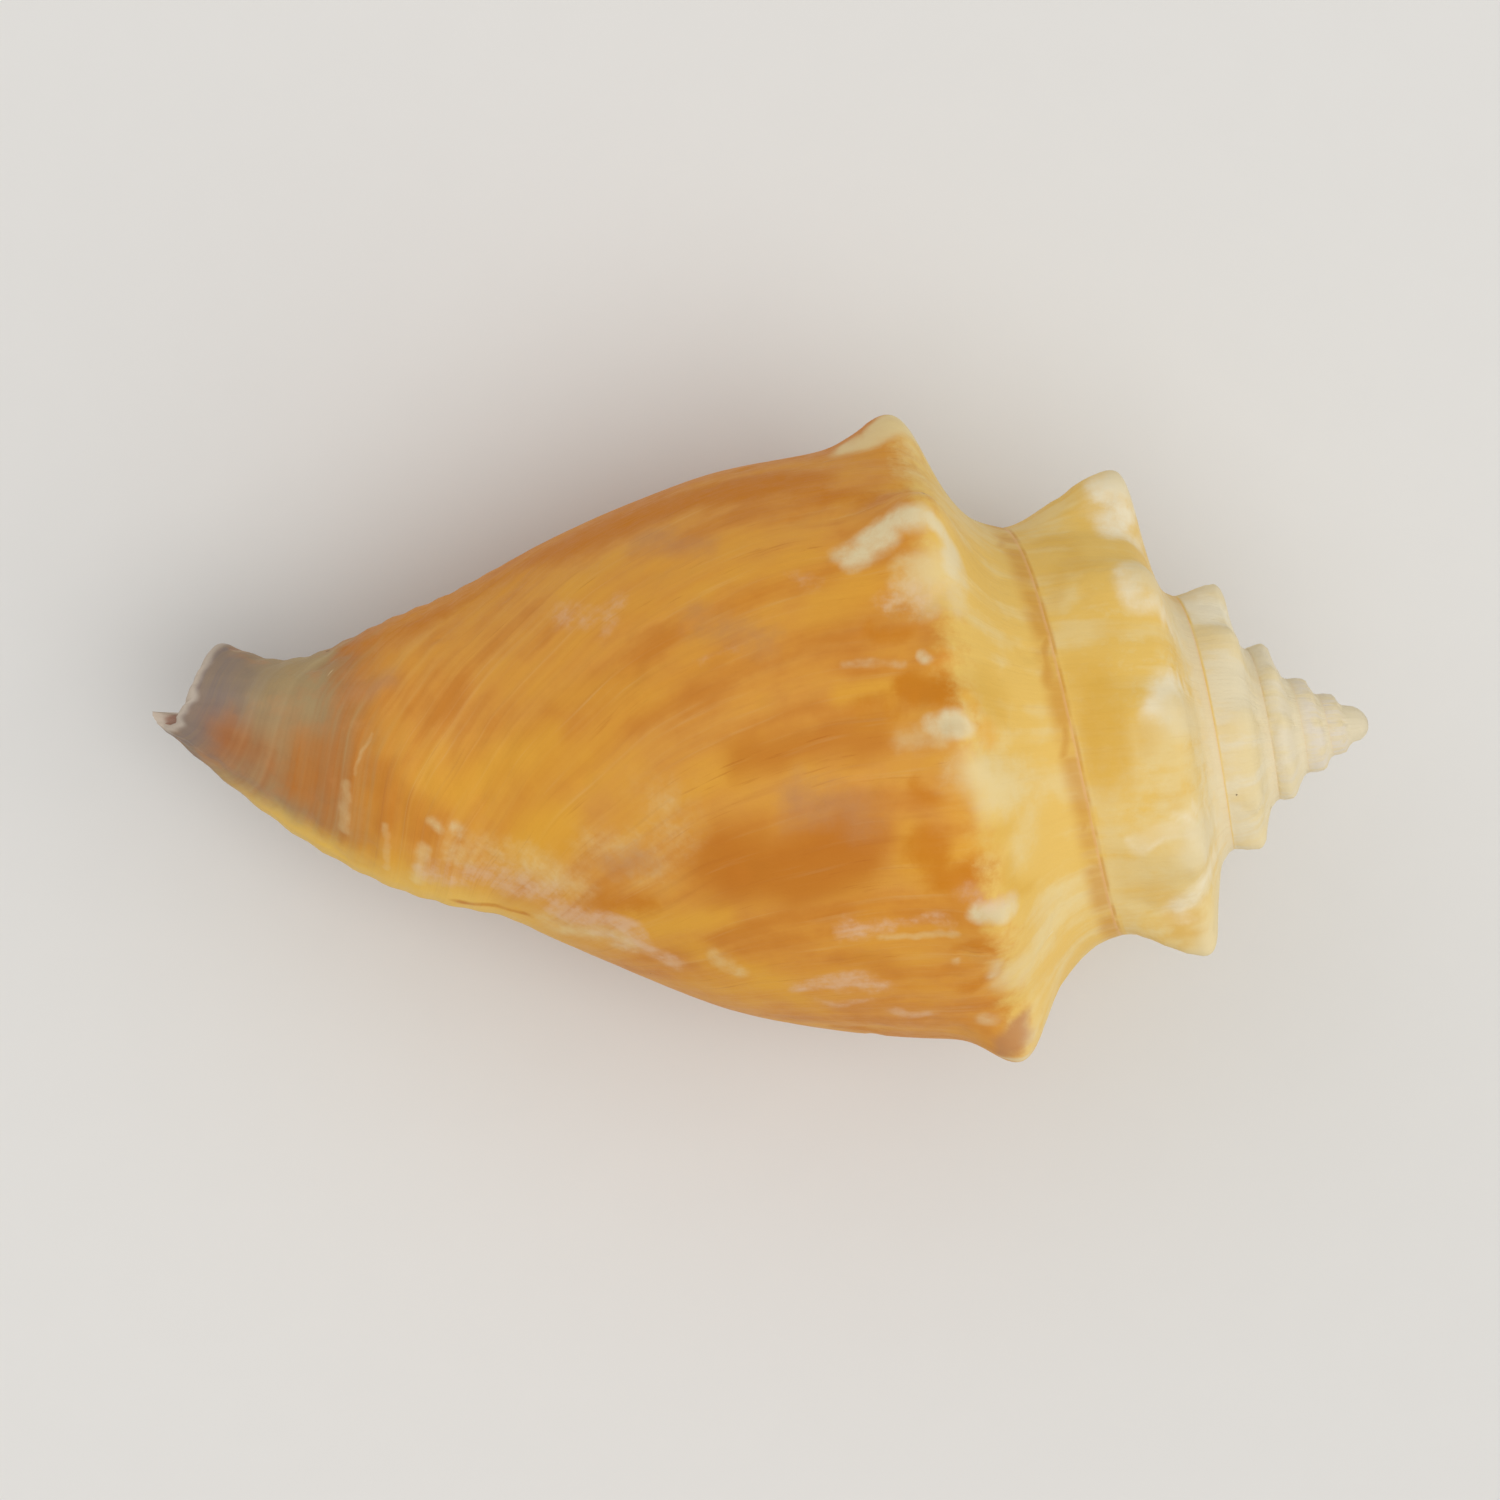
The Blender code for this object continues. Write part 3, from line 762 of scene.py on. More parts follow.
def round_edge(sheet, lip, rim, outer_sheet, top):
    """Bands from the skin's edge, down the lip and round the canal, to the hollow's.

    Returns the last point of each row between the two.
    """
    skin = lip + rim
    canal_edge = [row[-1] for row in outer_sheet[1:]]
    skin_points = sheet.at(skin)
    mouth_points = sheet.at([top] + outer_sheet[0])
    canal_points = sheet.at([outer_sheet[0][-1]] + canal_edge)
    inner_points = np.concatenate(
        [between(mouth_points, len(lip)), between(canal_points, len(rim) + 1)[1:]]
    )
    place = np.arange(len(skin))
    on_lip = np.clip((len(lip) + 6 - place) / 12, 0, 1)
    grown_in = np.clip(place / 24, 0, 1)
    row, ends = skin, []
    for step in range(1, EDGE_STEPS):
        share = step / EDGE_STEPS
        inwards = 0.5 - 0.5 * math.cos(math.pi * share)
        points = skin_points + (inner_points - skin_points) * inwards
        swell = EDGE_SWELL * math.sin(math.pi * share) * grown_in
        points[:, 0] += swell * on_lip / (math.tau * np.maximum(points[:, 2], 3.0))
        points[:, 1] += swell * (1 - on_lip) * 0.6
        new = sheet.add(points[1:, 0], points[1:, 1], points[1:, 2], points[1:, 3], 0.15 * share)
        next_row = [lip[0]] + new
        sheet.zip(row, next_row, step > EDGE_STEPS // 2)
        row = next_row
        ends.append(row[-1])
    split = len(lip)
    sheet.zip(row[:split], [top] + outer_sheet[0], True)
    sheet.zip(row[split - 1 :], [outer_sheet[0][-1]] + canal_edge, True)
    return ends


# ---------------------------------------------------------------- marks on the shell


def growth_bearing(along, bearing):
    """The bearing at which the growth line through each point leaves the shoulder."""
    low, high = bearing - 5.0, bearing + 420.0
    for _ in range(28):
        middle = (low + high) / 2
        scaled = along / GROWTH_PER_TURN ** ((middle - GROWTH_BEARING) / 360)
        short = middle - growth_lag(scaled) < bearing
        low, high = np.where(short, middle, low), np.where(short, high, middle)
    return (low + high) / 2


def stroke_mask(along, bearing, out, strokes):
    """A soft mask of the strokes: 1 along their middles and 0.5 on their outlines."""
    mask = np.zeros_like(along)
    millimetres = np.radians(1.0) * np.maximum(out, 0.1)
    across = bearing * millimetres
    wave = 0.3 * np.sin(1.4 * along + 0.8 * across) + 0.1 * np.sin(2.6 * across - 0.9 * along)
    along = along + wave
    wave = 0.3 * np.sin(1.1 * across + 0.9 * along) + 0.1 * np.sin(2.3 * along)
    bearing = bearing + wave / millimetres
    for half_width, strength, points in strokes:
        away = np.full_like(along, np.inf)
        for start, end in zip(points, points[1:] + points[-1:]):
            x, y = along - start[0], (bearing - start[1]) * millimetres
            over, up = end[0] - start[0], (end[1] - start[1]) * millimetres
            share = np.clip((x * over + y * up) / np.maximum(over**2 + up**2, 1e-6), 0, 1)
            away = np.minimum(away, np.hypot(x - share * over, y - share * up))
        mask = np.maximum(mask, strength * np.exp(-0.7 * (away / half_width) ** 2))
    return mask


def bump_heights(along, bearing):
    """Knobs and dents of the last whorl."""
    height = np.zeros_like(along)
    for at_along, at_bearing, half_length, half_width, rise in BUMPS:
        away = np.hypot((along - at_along) / half_length, (bearing - at_bearing) / half_width)
        height += rise * np.exp(-(away**2))
    return height


def whorl_size(turn):
    """Size of a whorl against the last one."""
    return np.exp(suture_out_log(turn) - suture_out_log(0.0))


def crest_mask(turn, along):
    """1 on the crest of a spine."""
    size = whorl_size(turn)
    shoulder_along, _ = shoulder(turn)
    count = np.round((SPINE_TURN - turn) * SPINES_PER_TURN)
    degrees = 360 * (turn - (SPINE_TURN - count / SPINES_PER_TURN))
    past_middle = along - shoulder_along + CREST_RISE * size
    return np.exp(-((degrees / CREST_DEG) ** 2) - (past_middle / (CREST_REACH * size)) ** 2)


def callus_mask(turn, along):
    """1 well inside the glaze of the underside and 0 outside its wavy edge."""
    edge = CALLUS_EDGE_TURN + 0.03 * np.sin(along * 0.21) - 0.0012 * (along - 40)
    edge = edge - 0.09 * np.exp(-np.maximum(along - 22, 0) / 7)
    return np.clip(0.5 + (edge - turn) / 0.1, 0, 1) * np.clip((along - 22) / 6, 0, 1)


def coil_marks(sheet):
    """Values at every point of the sheet, by the name that the materials read."""
    turn, along, out, station, lining = np.concatenate(sheet.rows).T
    bearing = 360 * (turn + 0.25)
    last = turn > LIP_TURN - 1.001
    seam_along, _ = suture(turn)
    size = whorl_size(turn)
    seam_shows = turn > SEAM_FROM_TURN
    on_last = last & (station > 0.02)
    growth = np.where(on_last, growth_bearing(along, bearing), bearing)
    spiral = UPPER_SPIRAL * np.minimum(station, 2) + LOWER_SPIRAL * np.maximum(station - 2, 0)
    outer = lining < 0.01
    body = np.where(last & outer, 1.0, 0.0)
    fade = np.clip(station / 0.25, 0, 1) * np.clip(np.where(last, 9, 2 - station) / 0.25, 0, 1)
    on_back = np.clip((bearing + 90) / 12, 0, 1) * np.clip((102 - bearing) / 8, 0, 1)
    strokes = {
        name: stroke_mask(along, bearing, out, given) * outer for name, given in STROKES.items()
    }
    return {
        **strokes,
        "growth": growth * GROWTH_MM,
        "spiral": spiral,
        "turn": turn,
        "along": along,
        "bearing": bearing,
        "bend": canal_bend(along),
        "lining": lining,
        "out": out,
        "relief": np.where(outer, fade, 0.0),
        "knob": bump_heights(along, bearing) * body,
        "crest": crest_mask(turn, along) * outer * (1 - on_back),
        "rim": np.where(last, np.clip(1 - (end_along(turn) - along) / RIM_REACH, 0, 1), 0.0),
        "seam": np.clip(1 - (along - seam_along) / (SEAM_REACH * size), 0, 1) * seam_shows,
        "callus": callus_mask(turn, along) * last,
    }


def sheet_mesh(sheet, marks):
    """The unrolled shell as a mesh: X is the turn, Y the distance along and Z out."""
    used, corners = np.unique(np.array(sheet.triangles), return_inverse=True)
    corners = corners.reshape(-1, 3)
    marks = {name: values[used] for name, values in marks.items()}
    points = np.concatenate(sheet.rows)[used, :3]
    mesh = bpy.data.meshes.new("unrolled shell")
    mesh.from_pydata(points.tolist(), [], corners.tolist())
    for name, values in marks.items():
        made = mesh.attributes.new(name, "FLOAT", "POINT")
        made.data.foreach_set("value", values.astype(np.float32))
    lining = mesh.attributes.new("glazed", "BOOLEAN", "FACE")
    lining.data.foreach_set("value", np.array(sheet.lining, bool))
    growth, spiral = marks["growth"][corners], marks["spiral"][corners]
    whole = 360 * GROWTH_MM
    apart = growth.max(axis=1, keepdims=True) - growth.min(axis=1, keepdims=True) > whole / 2
    across = apart & (growth > growth.min(axis=1, keepdims=True) + whole / 2)
    growth = np.where(across, growth - whole, growth)
    spiral = np.where(across, 2.0 * UPPER_SPIRAL, spiral)
    layer = mesh.uv_layers.new(name="Coil")
    layer.data.foreach_set("uv", np.stack([growth, spiral], axis=2).reshape(-1).astype(np.float32))
    return mesh


# ---------------------------------------------------------------- nodes


def add_node(tree, kind, inputs=None, **settings):
    made = tree.nodes.new(kind)
    for name, value in settings.items():
        setattr(made, name, value)
    for name, value in (inputs or {}).items():
        if isinstance(value, bpy.types.NodeSocket):
            tree.links.new(value, made.inputs[name])
        else:
            made.inputs[name].default_value = value
    return made


def calculate(tree, operation, *values):
    made = add_node(tree, "ShaderNodeMath", dict(enumerate(values)), operation=operation)
    return made.outputs[0]


def smooth_step(tree, value, low, high, to_low=0.0, to_high=1.0):
    inputs = {"Value": value, "From Min": low, "From Max": high, "To Min": to_low, "To Max": to_high}
    made = add_node(tree, "ShaderNodeMapRange", inputs, interpolation_type="SMOOTHSTEP")
    return made.outputs["Result"]


def blend_colours(tree, factor, first, second, way="MIX"):
    made = add_node(
        tree, "ShaderNodeMix", {0: factor, 6: first, 7: second}, data_type="RGBA", blend_type=way
    )
    return made.outputs[2]


def noise(tree, vector, size=1.0, detail=3.0, roughness=0.5):
    inputs = {"Vector": vector, "Scale": 1 / size, "Detail": detail, "Roughness": roughness}
    return add_node(tree, "ShaderNodeTexNoise", inputs).outputs["Fac"]


def stretch(tree, vector, x, y, z=1.0):
    made = add_node(
        tree, "ShaderNodeVectorMath", {0: vector, 1: (x, y, z)}, operation="MULTIPLY"
    )
    return made.outputs[0]


def read_mark(tree, name):
    return add_node(tree, "ShaderNodeAttribute", attribute_name=name).outputs["Fac"]


def colour_ramp(tree, value, low, high, stops):
    """A colour that runs through the stops as the value goes from low to high."""
    share = add_node(
        tree, "ShaderNodeMapRange", {"Value": value, "From Min": low, "From Max": high}
    ).outputs["Result"]
    made = add_node(tree, "ShaderNodeValToRGB", {0: share})
    elements = made.color_ramp.elements
    elements.remove(elements[1])
    elements[0].position, elements[0].color = (stops[0][0] - low) / (high - low), stops[0][1]
    for at, colour in stops[1:]:
        elements.new((at - low) / (high - low)).color = colour
    return made.outputs[0]


def new_group(name, inputs, outputs):
    """A shader node group with float, vector or colour sockets."""
    tree = bpy.data.node_groups.new(name, "ShaderNodeTree")
    for socket, kind, value in inputs:
        made = tree.interface.new_socket(socket, in_out="INPUT", socket_type="NodeSocket" + kind)
        if value is not None:
            made.default_value = value
    for socket, kind in outputs:
        tree.interface.new_socket(socket, in_out="OUTPUT", socket_type="NodeSocket" + kind)
    return tree, tree.nodes.new("NodeGroupInput").outputs, tree.nodes.new("NodeGroupOutput").inputs


def place_group(tree, group, **inputs):
    made = tree.nodes.new("ShaderNodeGroup")
    made.node_tree = group
    for name, value in inputs.items():
        socket = made.inputs[name.replace("_", " ").capitalize()]
        if isinstance(value, bpy.types.NodeSocket):
            tree.links.new(value, socket)
        else:
            socket.default_value = value
    return made.outputs


def paint(red, green, blue):
    """A colour as it looks, from 0 to 255, as the shaders take it."""
    linear = []
    for value in (red, green, blue):
        share = value / 255
        linear.append(share / 12.92 if share <= 0.04045 else ((share + 0.055) / 1.055) ** 2.4)
    return (*linear, 1.0)


# ---------------------------------------------------------------- shared effects


def growth_streaks():
    """Streaks that run down the growth lines, from 0 to 1."""
    tree, given, out = new_group(
        "Growth streaks",
        (
            ("Coil", "Vector", None),
            ("Width", "Float", 1.0),
            ("Length", "Float", 20.0),
            ("Offset", "Float", 0.0),
        ),
        (("Streak", "Float"),),
    )
    parts = add_node(tree, "ShaderNodeSeparateXYZ", {0: given["Coil"]}).outputs
    x = calculate(tree, "DIVIDE", parts[0], given["Width"])
    y = calculate(tree, "DIVIDE", parts[1], given["Length"])
    place = add_node(tree, "ShaderNodeCombineXYZ", {0: x, 1: y, 2: given["Offset"]}).outputs[0]
    tree.links.new(noise(tree, place, 1.0, 3.0, 0.55), out["Streak"])
    return tree


def scattered_spots():
    """Small round spots in some cells of a pattern, from 0 to 1."""
    tree, given, out = new_group(
        "Scattered spots",
        (
            ("Place", "Vector", None),
            ("Cell", "Float", 1.0),
            ("Size", "Float", 0.2),
            ("Share", "Float", 0.3),
        ),
        (("Spots", "Float"),),
    )
    scale = calculate(tree, "DIVIDE", 1.0, given["Cell"])
    cells = add_node(tree, "ShaderNodeTexVoronoi", {"Vector": given["Place"], "Scale": scale}).outputs
    chance = add_node(tree, "ShaderNodeSeparateColor", {0: cells["Color"]}).outputs
    chosen = calculate(tree, "LESS_THAN", chance[0], given["Share"])
    reach = calculate(tree, "MULTIPLY", given["Size"], calculate(tree, "ADD", chance[1], 0.3))
    near = calculate(tree, "SUBTRACT", 1.0, calculate(tree, "DIVIDE", cells["Distance"], reach))
    tree.links.new(
        calculate(tree, "MULTIPLY", chosen, smooth_step(tree, near, 0.0, 0.5)), out["Spots"]
    )
    return tree


def brush_stroke():
    """A mask of one straight stroke between two places given as along and bearing."""
    tree, given, out = new_group(
        "Brush stroke",
        (
            ("Place", "Vector", None),
            ("Degree", "Vector", (1.0, 0.35, 0.0)),
            ("Start", "Vector", (0.0, 0.0, 0.0)),
            ("End", "Vector", (0.0, 0.0, 0.0)),
            ("Reach", "Float", 0.5),
        ),
        (("Mask", "Float"),),
    )

    def vectors(operation, *values, answer=0):
        made = add_node(tree, "ShaderNodeVectorMath", dict(enumerate(values)), operation=operation)
        return made.outputs[answer]

    away = vectors("MULTIPLY", vectors("SUBTRACT", given["Place"], given["Start"]), given["Degree"])
    run = vectors("MULTIPLY", vectors("SUBTRACT", given["End"], given["Start"]), given["Degree"])
    length = calculate(tree, "MAXIMUM", vectors("DOT_PRODUCT", run, run, answer=1), 0.0001)
    share = calculate(tree, "DIVIDE", vectors("DOT_PRODUCT", away, run, answer=1), length)
    share = calculate(tree, "MINIMUM", calculate(tree, "MAXIMUM", share, 0.0), 1.0)
    nearest = add_node(
        tree, "ShaderNodeVectorMath", {0: run, "Scale": share}, operation="SCALE"
    ).outputs[0]
    distance = vectors("DISTANCE", away, nearest, answer=1)
    distance = calculate(tree, "DIVIDE", distance, given["Reach"])
    tree.links.new(smooth_step(tree, distance, 2.1, 0.1), out["Mask"])
    return tree


def broken_patch():
    """A soft mask given a ragged, patchy outline."""
    tree, given, out = new_group(
        "Broken patch",
        (
            ("Mask", "Float", 0.0),
            ("Texture", "Float", 0.5),
            ("Raggedness", "Float", 0.6),
            ("Softness", "Float", 0.2),
        ),
        (("Factor", "Float"),),
    )
    centred = calculate(tree, "SUBTRACT", given["Texture"], 0.5)
    swing = calculate(tree, "MULTIPLY", centred, given["Raggedness"])
    moved = calculate(tree, "ADD", given["Mask"], calculate(tree, "MULTIPLY", swing, 2.0))
    low = calculate(tree, "SUBTRACT", 0.5, given["Softness"])
    high = calculate(tree, "ADD", 0.5, given["Softness"])
    shown = smooth_step(tree, given["Mask"], 0.03, 0.3)
    step = smooth_step(tree, moved, low, high)
    tree.links.new(calculate(tree, "MULTIPLY", step, shown), out["Factor"])
    return tree


def glaze_tint():
    """The enamel's colour, from the lip's edge into the throat and towards the canal."""
    tree, given, out = new_group(
        "Glaze tint",
        (
            ("Depth", "Float", 0.0),
            ("Along", "Float", 40.0),
            ("Texture", "Float", 0.5),
            ("Lip", "Color", (1, 1, 1, 1)),
            ("Throat", "Color", (1, 1, 1, 1)),
            ("Canal", "Color", (1, 1, 1, 1)),
            ("Rim", "Color", (1, 1, 1, 1)),
        ),
        (("Colour", "Color"),),
    )
    deep = calculate(tree, "ADD", given["Depth"], calculate(tree, "MULTIPLY", given["Texture"], 0.25))
    colour = blend_colours(tree, smooth_step(tree, deep, 0.1, 0.75), given["Lip"], given["Throat"])
    along = calculate(tree, "ADD", given["Along"], calculate(tree, "MULTIPLY", given["Texture"], 10.0))
    canal = blend_colours(tree, smooth_step(tree, deep, 0.3, 0.55), given["Rim"], given["Canal"])
    colour = blend_colours(tree, smooth_step(tree, along, 68.0, 86.0, 0.0, 0.9), colour, canal)
    tree.links.new(colour, out["Colour"])
    return tree


def shell_places(tree):
    """The coil's coordinates and the place in millimetres, for a material."""
    coil = add_node(tree, "ShaderNodeUVMap", uv_map="Coil").outputs[0]
    own = add_node(tree, "ShaderNodeTexCoord").outputs["Object"]
    place = add_node(
        tree, "ShaderNodeVectorMath", {0: own, "Scale": 1 / MILLIMETRE}, operation="SCALE"
    ).outputs[0]
    return coil, place


def new_material(name):
    material = bpy.data.materials.new(name)
    material.use_nodes = True
    tree = material.node_tree
    return material, tree, tree.nodes["Principled BSDF"].inputs


class Surface:
    """The patterns and drawn marks by which the outside's colours are laid on."""

    def __init__(self, tree, groups):
        self.tree = tree
        self.groups = groups
        self.coil, self.place = shell_places(tree)
        names = ("turn", "along", "bearing", "out", "crest", "seam", "callus", "rim", *STROKES)
        self.mark = {name: read_mark(tree, name) for name in names}
        self.stroke_at, self.degree = self.stroke_places()
        broad = self.streaks(7.0, 38.0, 3.3)
        self.middle = self.streaks(2.6, 20.0, 7.7)
        self.fine = self.streaks(0.7, 9.0, 9.1)
        self.hair = self.streaks(0.24, 3.6, 21.4)
        self.mottle = noise(tree, self.place, 6.0, 4.0, 0.6)
        self.grain = noise(tree, self.place, 1.1, 4.0, 0.65)
        self.streaky = self.mixture((broad, 0.5), (self.middle, 0.35), (self.fine, 0.15))
        self.ragged = self.mixture((self.streaky, 0.5), (self.grain, 0.5))
        self.cloudy = self.mixture((self.middle, 0.5), (self.mottle, 0.5))
        self.golden = self.times(self.patch(self.mark["gold"], self.streaky, 0.6, 0.5), 0.75)
        cut = self.times(self.step(self.fine, 0.54, 0.78), 0.16)
        fine_cut = self.times(self.step(self.hair, 0.6, 0.74), self.step(self.middle, 0.45, 0.6), 0.3)
        self.growth_line = self.greater(cut, fine_cut)

    def stroke_places(self):
        """Where the fine strokes are drawn, slightly wavy, and a degree in millimetres."""
        tree, mark = self.tree, self.mark
        wobble = add_node(
            tree, "ShaderNodeTexNoise", {"Vector": self.place, "Scale": 0.5, "Detail": 3.0}
        ).outputs["Color"]
        wobble = add_node(
            tree, "ShaderNodeVectorMath", {0: wobble, 1: (1.0, 2.8, 0.0), 2: (-0.5, -1.4, 0.0)},
            operation="MULTIPLY_ADD",
        ).outputs[0]
        even = add_node(
            tree, "ShaderNodeCombineXYZ", {0: mark["along"], 1: mark["bearing"]}
        ).outputs[0]
        wavy = add_node(tree, "ShaderNodeVectorMath", {0: even, 1: wobble}, operation="ADD").outputs[0]
        millimetres = self.times(mark["out"], math.radians(1.0))
        degree = add_node(tree, "ShaderNodeCombineXYZ", {0: 1.0, 1: millimetres}).outputs[0]
        return wavy, degree

    def add(self, first, second):
        return calculate(self.tree, "ADD", first, second)

    def less(self, first, second):
        return calculate(self.tree, "SUBTRACT", first, second)

    def greater(self, first, second):
        return calculate(self.tree, "MAXIMUM", first, second)

    def times(self, *values):
        product = values[0]
        for value in values[1:]:
            product = calculate(self.tree, "MULTIPLY", product, value)
        return product

    def mixture(self, *parts):
        """A sum of patterns, each given with its share."""
        whole = self.times(*parts[0])
        for part in parts[1:]:
            whole = self.add(whole, self.times(*part))
        return whole

    def centred(self, value, reach):
        return self.times(self.less(value, 0.5), reach)

    def step(self, value, low, high, to_low=0.0, to_high=1.0):
        return smooth_step(self.tree, value, low, high, to_low, to_high)

    def cover(self, colour, coat, share, way="MIX"):
        """The colour with this share of a coat laid over it."""
        return blend_colours(self.tree, share, colour, coat, way)

    def spiral(self):
        """How far down the profile, in the measure that the spiral cords have."""
        return add_node(self.tree, "ShaderNodeSeparateXYZ", {0: self.coil}).outputs[1]

    def on_last(self):
        """1 on the last whorl and 0 on the spire."""
        return self.step(self.mark["turn"], -0.96, -0.86)

    def streaks(self, width, length, offset):
        return place_group(
            self.tree, self.groups["streaks"], coil=self.coil,
            width=width, length=length, offset=offset,
        )[0]

    def spots(self, place, cell, size):
        return place_group(
            self.tree, self.groups["spots"], place=place, cell=cell, size=size, share=0.35
        )[0]

    def patch(self, mask, texture, raggedness, softness):
        return place_group(
            self.tree, self.groups["patch"], mask=mask, texture=texture,
            raggedness=raggedness, softness=softness,
        )[0]

    def drawn(self, strokes):
        """A mask of strokes too fine for the points of the mesh."""
        whole = None
        for reach, strength, points in strokes:
            for start, end in zip(points, points[1:]):
                mask = place_group(
                    self.tree, self.groups["stroke"], place=self.stroke_at, degree=self.degree,
                    start=(*start, 0.0), end=(*end, 0.0), reach=reach,
                )[0]
                mask = self.times(mask, strength)
                whole = mask if whole is None else self.greater(whole, mask)
        return whole


def last_whorl_coat(shell, colours):
    """Tan, rose and gold, darkened along the lines that the growing edge left, with amber painted shade
    towards the far side.
    """
    tint = shell.step(shell.streaky, 0.32, 0.68)
    colour = shell.cover(colours.body, colours.rose_tan, tint)
    clouds = shell.step(shell.cloudy, 0.38, 0.72, 0.0, 0.65)
    colour = shell.cover(colour, colours.gold, clouds)
    brownish = shell.step(shell.cloudy, 0.52, 0.32, 0.0, 0.5)
    colour = shell.cover(colour, colours.brown_orange, brownish)
    colour = shell.cover(colour, colours.gold, shell.golden)
    # the brown strokes include painted shade along the upper outline
    brown = shell.times(shell.patch(shell.mark["brown"], shell.streaky, 0.7, 0.5), 0.85)
    colour = shell.cover(colour, colours.brown_orange, brown)
    # painted shade: amber laid over the side turned away, darker towards the upper outline
    far_side_painted_shade = shell.step(shell.mark["bearing"], 58.0, 92.0, 0.0, 0.65)
    colour = shell.cover(colour, colours.amber, far_side_painted_shade)
    colour = shell.cover(colour, colours.line, shell.growth_line, "MULTIPLY")
    light = shell.times(shell.step(shell.streaks(0.5, 9.0, 31.7), 0.56, 0.8), 0.12)
    return shell.cover(colour, colours.cream, light)


def canal_coat(shell, colours, colour):
    """Brown, olive and violet down the canal, with rose veins."""
    mark = shell.mark
    canal = shell.add(mark["along"], shell.centred(shell.cloudy, 9.0))
    canal = shell.add(canal, shell.times(shell.step(mark["bearing"], -60.0, 60.0), 2.6))
    coat = colour_ramp(
        shell.tree, canal, 68.0, 87.0,
        ((68.0, colours.body), (72.0, colours.brown), (75.0, colours.olive), (77.5, colours.olive),
         (82.0, colours.violet), (84.5, colours.violet), (86.5, colours.tip)),
    )
    brown_side = shell.times(
        shell.step(mark["bearing"], 34.0, -6.0), shell.step(canal, 83.0, 79.0),
        shell.step(shell.cloudy, 0.36, 0.6), 0.6,
    )
    coat = shell.cover(coat, colours.brown, brown_side)
    veins = shell.step(shell.streaks(0.9, 5.0, 43.1), 0.42, 0.66, 0.0, 0.45)
    coat = shell.cover(coat, colours.olive, veins)
    pinkish = shell.step(noise(shell.tree, shell.place, 2.4, 4.0, 0.6), 0.48, 0.68, 0.0, 0.45)
    coat = shell.cover(coat, colours.rose, pinkish)
    colour = shell.cover(colour, coat, shell.step(canal, 68.0, 75.0))
    brown = shell.times(
        mark["brown"], shell.step(shell.cloudy, 0.35, 0.6, 0.6, 1.0),
        shell.step(mark["along"], 68.0, 72.0), 0.85,
    )
    nearer = shell.step(mark["along"], 77.0, 74.0)
    colour = shell.cover(colour, shell.cover(colours.brown, colours.brown_orange, nearer), brown)
    violet = shell.times(
        shell.step(mark["violet"], 0.1, 0.9), shell.step(shell.cloudy, 0.35, 0.6, 0.4, 0.8)
    )
    return shell.cover(colour, colours.violet, violet)


def edge_coat(shell, colours, colour):
    """The thin yellowish lower side, lightened as painted light, the canal's ribs and pale rim, and
    amber places, some of them painted shade along the upper outline.
    """
    mark = shell.mark
    # painted light: the lower side's own yellow, lightened for light shining through the thin shell and
    # for less light falling there
    low_side = shell.add(mark["bearing"], shell.centred(shell.mottle, 30.0))
    low_side = shell.times(
        shell.step(low_side, -34.0, -62.0), shell.step(mark["bearing"], -125.0, -98.0),
        shell.step(mark["along"], 52.0, 64.0), shell.step(mark["along"], 82.0, 76.0), 0.85,
    )
    colour = shell.cover(colour, colours.thin_edge_painted_light, low_side)
    ribs = shell.times(shell.step(shell.middle, 0.5, 0.8), shell.step(mark["along"], 60.0, 68.0), 0.2)
    colour = shell.cover(colour, colours.cream, ribs)
    rim = shell.step(shell.add(mark["rim"], shell.centred(shell.ragged, 0.6)), 0.45, 0.95)
    rim = shell.times(rim, shell.step(mark["along"], 72.0, 79.0), 0.8)
    colour = shell.cover(colour, colours.tip, rim)
    # the amber strokes include painted shade along the upper outline
    amber = shell.times(shell.patch(mark["amber"], shell.ragged, 0.7, 0.45), 0.85)
    return shell.cover(colour, colours.amber, amber)


def spire_coat(shell, colours, colour):
    """The pale upper whorls and the ramp above the spines, over the last whorl's colour."""
    mark = shell.mark
    older = shell.add(mark["turn"], shell.centred(shell.ragged, 1.3))
    spire = colour_ramp(
        shell.tree, older, -6.0, 0.2,
        ((-6.0, colours.apex), (-4.2, colours.apex), (-2.8, colours.spire), (-1.9, colours.spire),
         (-1.5, colours.cream), (-1.2, colours.ramp), (0.2, colours.ramp)),
    )
    yellow = shell.step(shell.mixture((shell.mottle, 0.5), (shell.middle, 0.5)), 0.45, 0.62, 0.0, 0.75)
    yellow = shell.times(yellow, shell.step(mark["turn"], -3.4, -1.8), 0.6)
    spire = shell.cover(spire, colours.ramp, yellow)
    down = shell.add(shell.spiral(), shell.centred(shell.ragged, 9.0))
    foot = shell.times(shell.step(down, 6.5, 13.5), shell.step(mark["turn"], -1.9, -1.3), 0.6)
    spire = shell.cover(spire, colours.ramp, foot)
    spire = shell.cover(spire, colours.cream, shell.step(shell.cloudy, 0.47, 0.6, 0.0, 0.5))
    spire = shell.cover(spire, colours.ramp_gold, shell.times(shell.golden, 0.9))
    head = shell.times(shell.step(down, 6.0, 1.0), shell.step(mark["turn"], -0.98, -1.1), 0.8)
    spire = shell.cover(spire, colours.spire, head)
    spire = shell.cover(spire, colours.line, shell.times(shell.growth_line, 0.25), "MULTIPLY")
    down = shell.less(down, shell.times(mark["crest"], 3.0))
    below_ramp = shell.times(
        shell.step(down, 5.4, 9.4), shell.on_last(), shell.step(mark["seam"], 0.2, 0.0)
    )
    colour = shell.cover(spire, colour, below_ramp)
    creamy = shell.times(shell.patch(mark["cream"], shell.ragged, 0.7, 0.45), 0.8)
    return shell.cover(colour, colours.cream, creamy)


